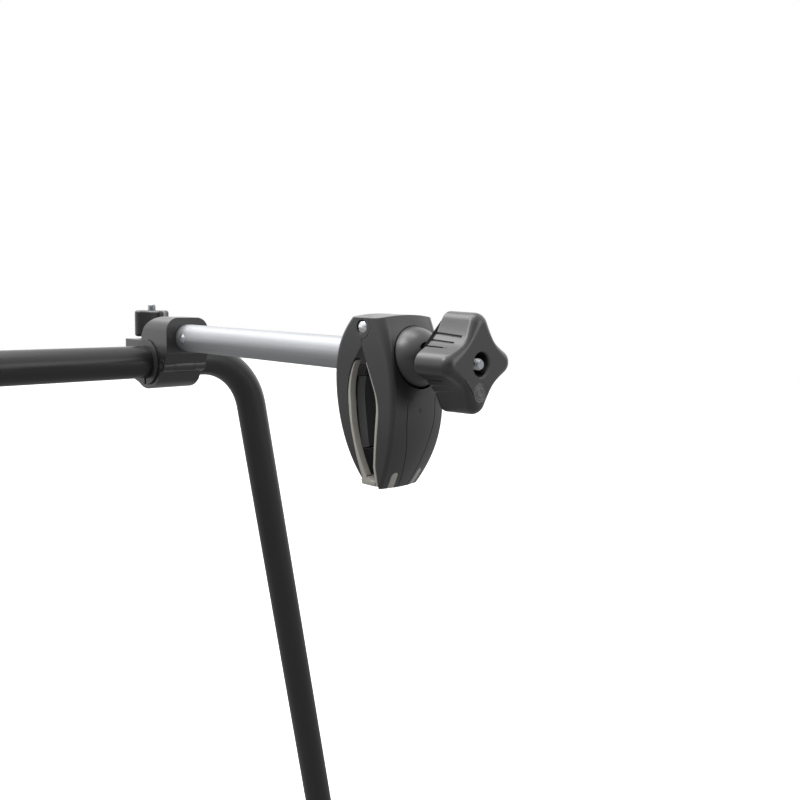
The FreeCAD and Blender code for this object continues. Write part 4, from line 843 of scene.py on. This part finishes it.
@dataclass
class StarKnob(SubAssembly):
    """Star knob: its shell, drawn in between the lobes, and its round inlay."""

    lobes: int = 4
    axis_x: float = 116 * MM
    axis_z: float = 584.6 * MM
    front: float = -381.7 * MM
    depth: float = 29.4 * MM
    edge: float = 7.2 * MM
    edge_share: float = 0.56
    skin_from: float = 16 * MM
    hollow_to: float = 19.8 * MM
    hollow_from: float = 10 * MM
    taper: float = 0.7 * MM
    front_out: float = 0.55 * MM
    valley_in: float = 3.4 * MM
    valley_in_back: float = 1.0 * MM
    inlay_at: tuple[float, float, float] = (116 * MM, -381.07 * MM, 566.1 * MM)
    inlay_radius: float = 6.85 * MM
    inlay_room: float = 0.4 * MM
    inlay_height: float = 1.1 * MM
    inlay_sides: int = 72
    inlay_steps: tuple[tuple[float, float], ...] = (
        (0.7 * MM, 0.4 * MM), (1.0 * MM, -0.28 * MM), (0.35 * MM, 0.28 * MM),
        (1.5 * MM, -0.3 * MM), (1.2 * MM, 0.25 * MM))
    inlay_edge: float = 0.1 * MM
    smooth_degrees: float = 32.0

    def drawn_in(self, out: float, behind: float, valley: float) -> tuple[float, float]:
        """Say where a point of the outer skin goes when the valleys are drawn in.

        Args:
            out: Its distance from the knob's axis.
            behind: Its distance behind the knob's front.
            valley: 0 on the middle of a lobe, 1 in the middle of a valley.

        Returns:
            Its new distance from the axis and behind the front.
        """
        taper = self.taper * (1 - behind / self.depth)
        if behind <= self.edge:
            rise = math.sqrt(max(0.0, 1 - (1 - behind / self.edge) ** 2))
            shift = self.front_out - self.valley_in * rise
            return out + valley * shift - taper, behind * (1 - valley * (1 - self.edge_share))
        along = (behind - self.edge) / (self.depth - self.edge)
        at_edge = self.valley_in - self.front_out
        shift = at_edge + (self.valley_in_back - at_edge) * along
        forward = self.edge * (1 - self.edge_share) * (1 - along)
        return out - valley * shift - taper, behind - valley * forward

    def build_shell(self) -> None:
        """Rework a copy of the knob: deeper valleys, a tighter edge there, a slight taper."""
        shell = merged_copy(self.frame["nodes"]["knob"], "star_knob")
        inlay = Vector((self.inlay_at[0], self.inlay_at[2]))
        recess = self.inlay_radius + self.inlay_room
        for vertex in shell.data.vertices:
            spot = vertex.co
            across, up, behind = spot.x - self.axis_x, spot.z - self.axis_z, spot.y - self.front
            out = math.hypot(across, up)
            in_recess = (Vector((spot.x, spot.z)) - inlay).length < recess
            in_hollow = behind > self.hollow_from and out < self.hollow_to
            if out < self.skin_from or behind > self.depth or in_recess or in_hollow:
                continue
            turn = math.atan2(up, across)
            valley = math.sin(self.lobes / 2 * turn) ** 2
            new_out, new_behind = self.drawn_in(out, behind, valley)
            vertex.co = (self.axis_x + new_out * math.cos(turn), self.front + new_behind,
                         self.axis_z + new_out * math.sin(turn))
        smooth(shell, self.smooth_degrees)
        apply_modifier(shell, "WEIGHTED_NORMAL", keep_sharp=True, weight=80)
        self.finish(shell, "grip", Finish.HEAD_NYLON, "charcoal_plastic", "knob")

    def build_inlay(self) -> None:
        """Make the inlay: a raised rim, a sunk floor and a low bare boss with a dimple."""
        inlay = turned_relief("knob_inlay", self.inlay_at, self.inlay_radius, self.inlay_height,
                              self.inlay_sides, self.inlay_steps, self.inlay_edge)
        self.finish(inlay, "grip", Finish.INLAY_NYLON, "black_plastic", "knob_disc")

    def build(self) -> None:
        """Make the shell and the inlay."""
        self.build_shell()
        self.build_inlay()


@dataclass(frozen=True)
class Lamp:
    """One soft rectangular lamp."""

    name: str
    at: tuple[float, float, float]
    size: tuple[float, float]
    watts: float

    def hang(self, target: Vector) -> None:
        """Hang the lamp so that it faces a point.

        Args:
            target: The point.
        """
        data = bpy.data.lights.new(self.name, "AREA")
        data.shape = "RECTANGLE"
        data.size, data.size_y = self.size
        data.energy = self.watts
        lamp = bpy.data.objects.new(self.name, data)
        bpy.context.scene.collection.objects.link(lamp)
        aim = (target - Vector(self.at)).to_track_quat("-Z", "Y")
        lamp.matrix_world = Matrix.Translation(self.at) @ aim.to_matrix().to_4x4()


@dataclass
class Studio:
    """Pale floor, soft lamps and the camera at the photograph's viewing angle."""

    camera_at: tuple[float, float, float] = (-0.3238, -0.7305, 0.6293)
    right: tuple[float, float, float] = (0.6939, -0.7197, 0.0229)
    up: tuple[float, float, float] = (0.0726, 0.1015, 0.9922)
    back: tuple[float, float, float] = (-0.7164, -0.6868, 0.1227)
    focal_px: float = 862.9
    frame_px: float = 800.0
    sensor_mm: float = 36.0
    clip: tuple[float, float] = (0.01, 50.0)
    floor_level: float = -0.0218
    floor_half: float = 6.0
    floor_grey: str = "#585858"
    floor_near: float = 0.2
    floor_far: float = 0.55
    floor_white: str = "#F6F6F6"
    floor_lift: float = 0.45
    floor_fade: tuple[float, float] = (0.6, 4.5)
    room_up: tuple[float, float, float] = (0.1, 0.5, 0.8)
    room_fade: tuple[float, float] = (-0.45, 0.5)
    room_low: float = 0.16
    room_high: float = 1.2
    head: tuple[float, float, float] = (0.116, -0.3, 0.56)
    lamps: tuple[Lamp, ...] = (Lamp("overhead_strip", (0.0, 0.35, 1.95), (0.8, 2.0), 17),
                               Lamp("upper_left", (-0.75, 0.05, 1.85), (0.6, 0.6), 9),
                               Lamp("front_right", (0.9, -2.0, 1.1), (1.2, 1.2), 8))

    def add_camera(self) -> None:
        """Place the camera and make it the scene's."""
        data = bpy.data.cameras.new("camera")
        data.sensor_fit = "HORIZONTAL"
        data.sensor_width = self.sensor_mm
        data.lens = self.focal_px / self.frame_px * self.sensor_mm
        data.clip_start, data.clip_end = self.clip
        camera = bpy.data.objects.new("camera", data)
        bpy.context.scene.collection.objects.link(camera)
        turn = Matrix((self.right, self.up, self.back)).transposed().to_4x4()
        turn.translation = Vector(self.camera_at)
        camera.matrix_world = turn
        bpy.context.scene.camera = camera

    def add_floor(self) -> None:
        """Lay a pale floor that shows near white to the camera and lights only softly."""
        deselect()
        bpy.ops.mesh.primitive_plane_add(size=2 * self.floor_half,
                                         location=(0, 0, self.floor_level))
        floor = bpy.context.object
        floor.name = "studio_floor"
        material, tree = blank_material("pale_floor")
        seen = add_node(tree, "ShaderNodeLightPath").outputs["Is Camera Ray"]
        tone = two_tone(tree, seen, self.floor_grey, self.floor_white)
        skin = add_node(tree, "ShaderNodeBsdfDiffuse", {}, {"Color": tone})
        reach = add_node(tree, "ShaderNodeVectorMath", {"operation": "LENGTH"},
                         {0: object_place(tree)})
        far = self.fade(tree, reach.outputs["Value"], self.floor_fade,
                        (self.floor_near, self.floor_far))
        glow = add_node(tree, "ShaderNodeEmission", {"Color": WHITE},
                        {"Strength": self.for_camera(tree, seen, far, self.floor_lift)})
        both = add_node(tree, "ShaderNodeAddShader", {},
                        {0: skin.outputs["BSDF"], 1: glow.outputs["Emission"]})
        add_node(tree, "ShaderNodeOutputMaterial", {}, {"Surface": both.outputs["Shader"]})
        floor.data.materials.append(material)

    @staticmethod
    def fade(tree: bpy.types.NodeTree, value: bpy.types.NodeSocket, start: tuple[float, float],
             end: tuple[float, float], **settings: Any) -> bpy.types.NodeSocket:
        """Map a value from one range to another.

        Args:
            tree: Node tree of the floor or the room.
            value: The value.
            start: Range that it has.
            end: Range that it gets.
            settings: More attributes of the node, by name.

        Returns:
            The mapped value.
        """
        ranges = {"From Min": start[0], "From Max": start[1], "To Min": end[0], "To Max": end[1]}
        return add_node(tree, "ShaderNodeMapRange", {**settings, **ranges},
                        {"Value": value}).outputs["Result"]

    @staticmethod
    def for_camera(tree: bpy.types.NodeTree, seen: bpy.types.NodeSocket,
                   lit: bpy.types.NodeSocket, shown: float) -> bpy.types.NodeSocket:
        """Choose between the strength that lights the scene and the one that is seen.

        Args:
            tree: Node tree of the floor or the room.
            seen: 1 for what the camera sees.
            lit: Strength that lights the scene.
            shown: Strength that the camera sees.

        Returns:
            The strength.
        """
        return add_node(tree, "ShaderNodeMix", {"data_type": "FLOAT", NUMBERS_IN[1]: shown},
                        {SHARE_IN: seen, NUMBERS_IN[0]: lit}).outputs[NUMBER_OUT]

    def add_world(self) -> None:
        """Fill the background with plain white, and light from it only softly."""
        world = bpy.data.worlds.new("studio")
        bpy.context.scene.world = world
        world.use_nodes = True
        tree = world.node_tree
        tree.nodes.clear()
        seen = add_node(tree, "ShaderNodeLightPath").outputs["Is Camera Ray"]
        way = add_node(tree, "ShaderNodeTexCoord").outputs["Generated"]
        height = add_node(tree, "ShaderNodeVectorMath",
                          {"operation": "DOT_PRODUCT", 1: self.room_up}, {0: way})
        room = self.fade(tree, height.outputs["Value"], self.room_fade,
                         (self.room_low, self.room_high), interpolation_type="SMOOTHSTEP")
        light = add_node(tree, "ShaderNodeBackground", {"Color": WHITE},
                         {"Strength": self.for_camera(tree, seen, room, 1.0)})
        add_node(tree, "ShaderNodeOutputWorld", {}, {"Surface": light.outputs["Background"]})

    def build(self) -> None:
        """Set up the whole studio."""
        bpy.context.scene.view_settings.view_transform = "Standard"
        self.add_camera()
        self.add_floor()
        self.add_world()
        for lamp in self.lamps:
            lamp.hang(Vector(self.head))


def main() -> None:
    """Dress the frame, build the fine parts and set the studio."""
    logging.basicConfig(level=logging.INFO, format="%(name)s: %(message)s")
    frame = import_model()
    workshop = Workshop()
    workshop.dress_frame(frame)
    JawHead(frame, workshop).build()
    ThrustDome(frame, workshop).build()
    StarKnob(frame, workshop).build()
    ThreadedBar(frame, workshop, "threaded_tension_rod", "tension_rod", "rod",
                foot=(116 * MM, -286.8 * MM, 584.6 * MM), along=(0, -1, 0),
                length=94.1 * MM).build()
    ThreadedBar(frame, workshop, "threaded_swing_bolt", "swing_bolt", "clamp_bolt",
                foot=(116 * MM, 28 * MM, 549.4 * MM), along=(0, 0, 1),
                length=63.5 * MM).build()
    Studio().build()


if __name__ == "__main__":
    main()
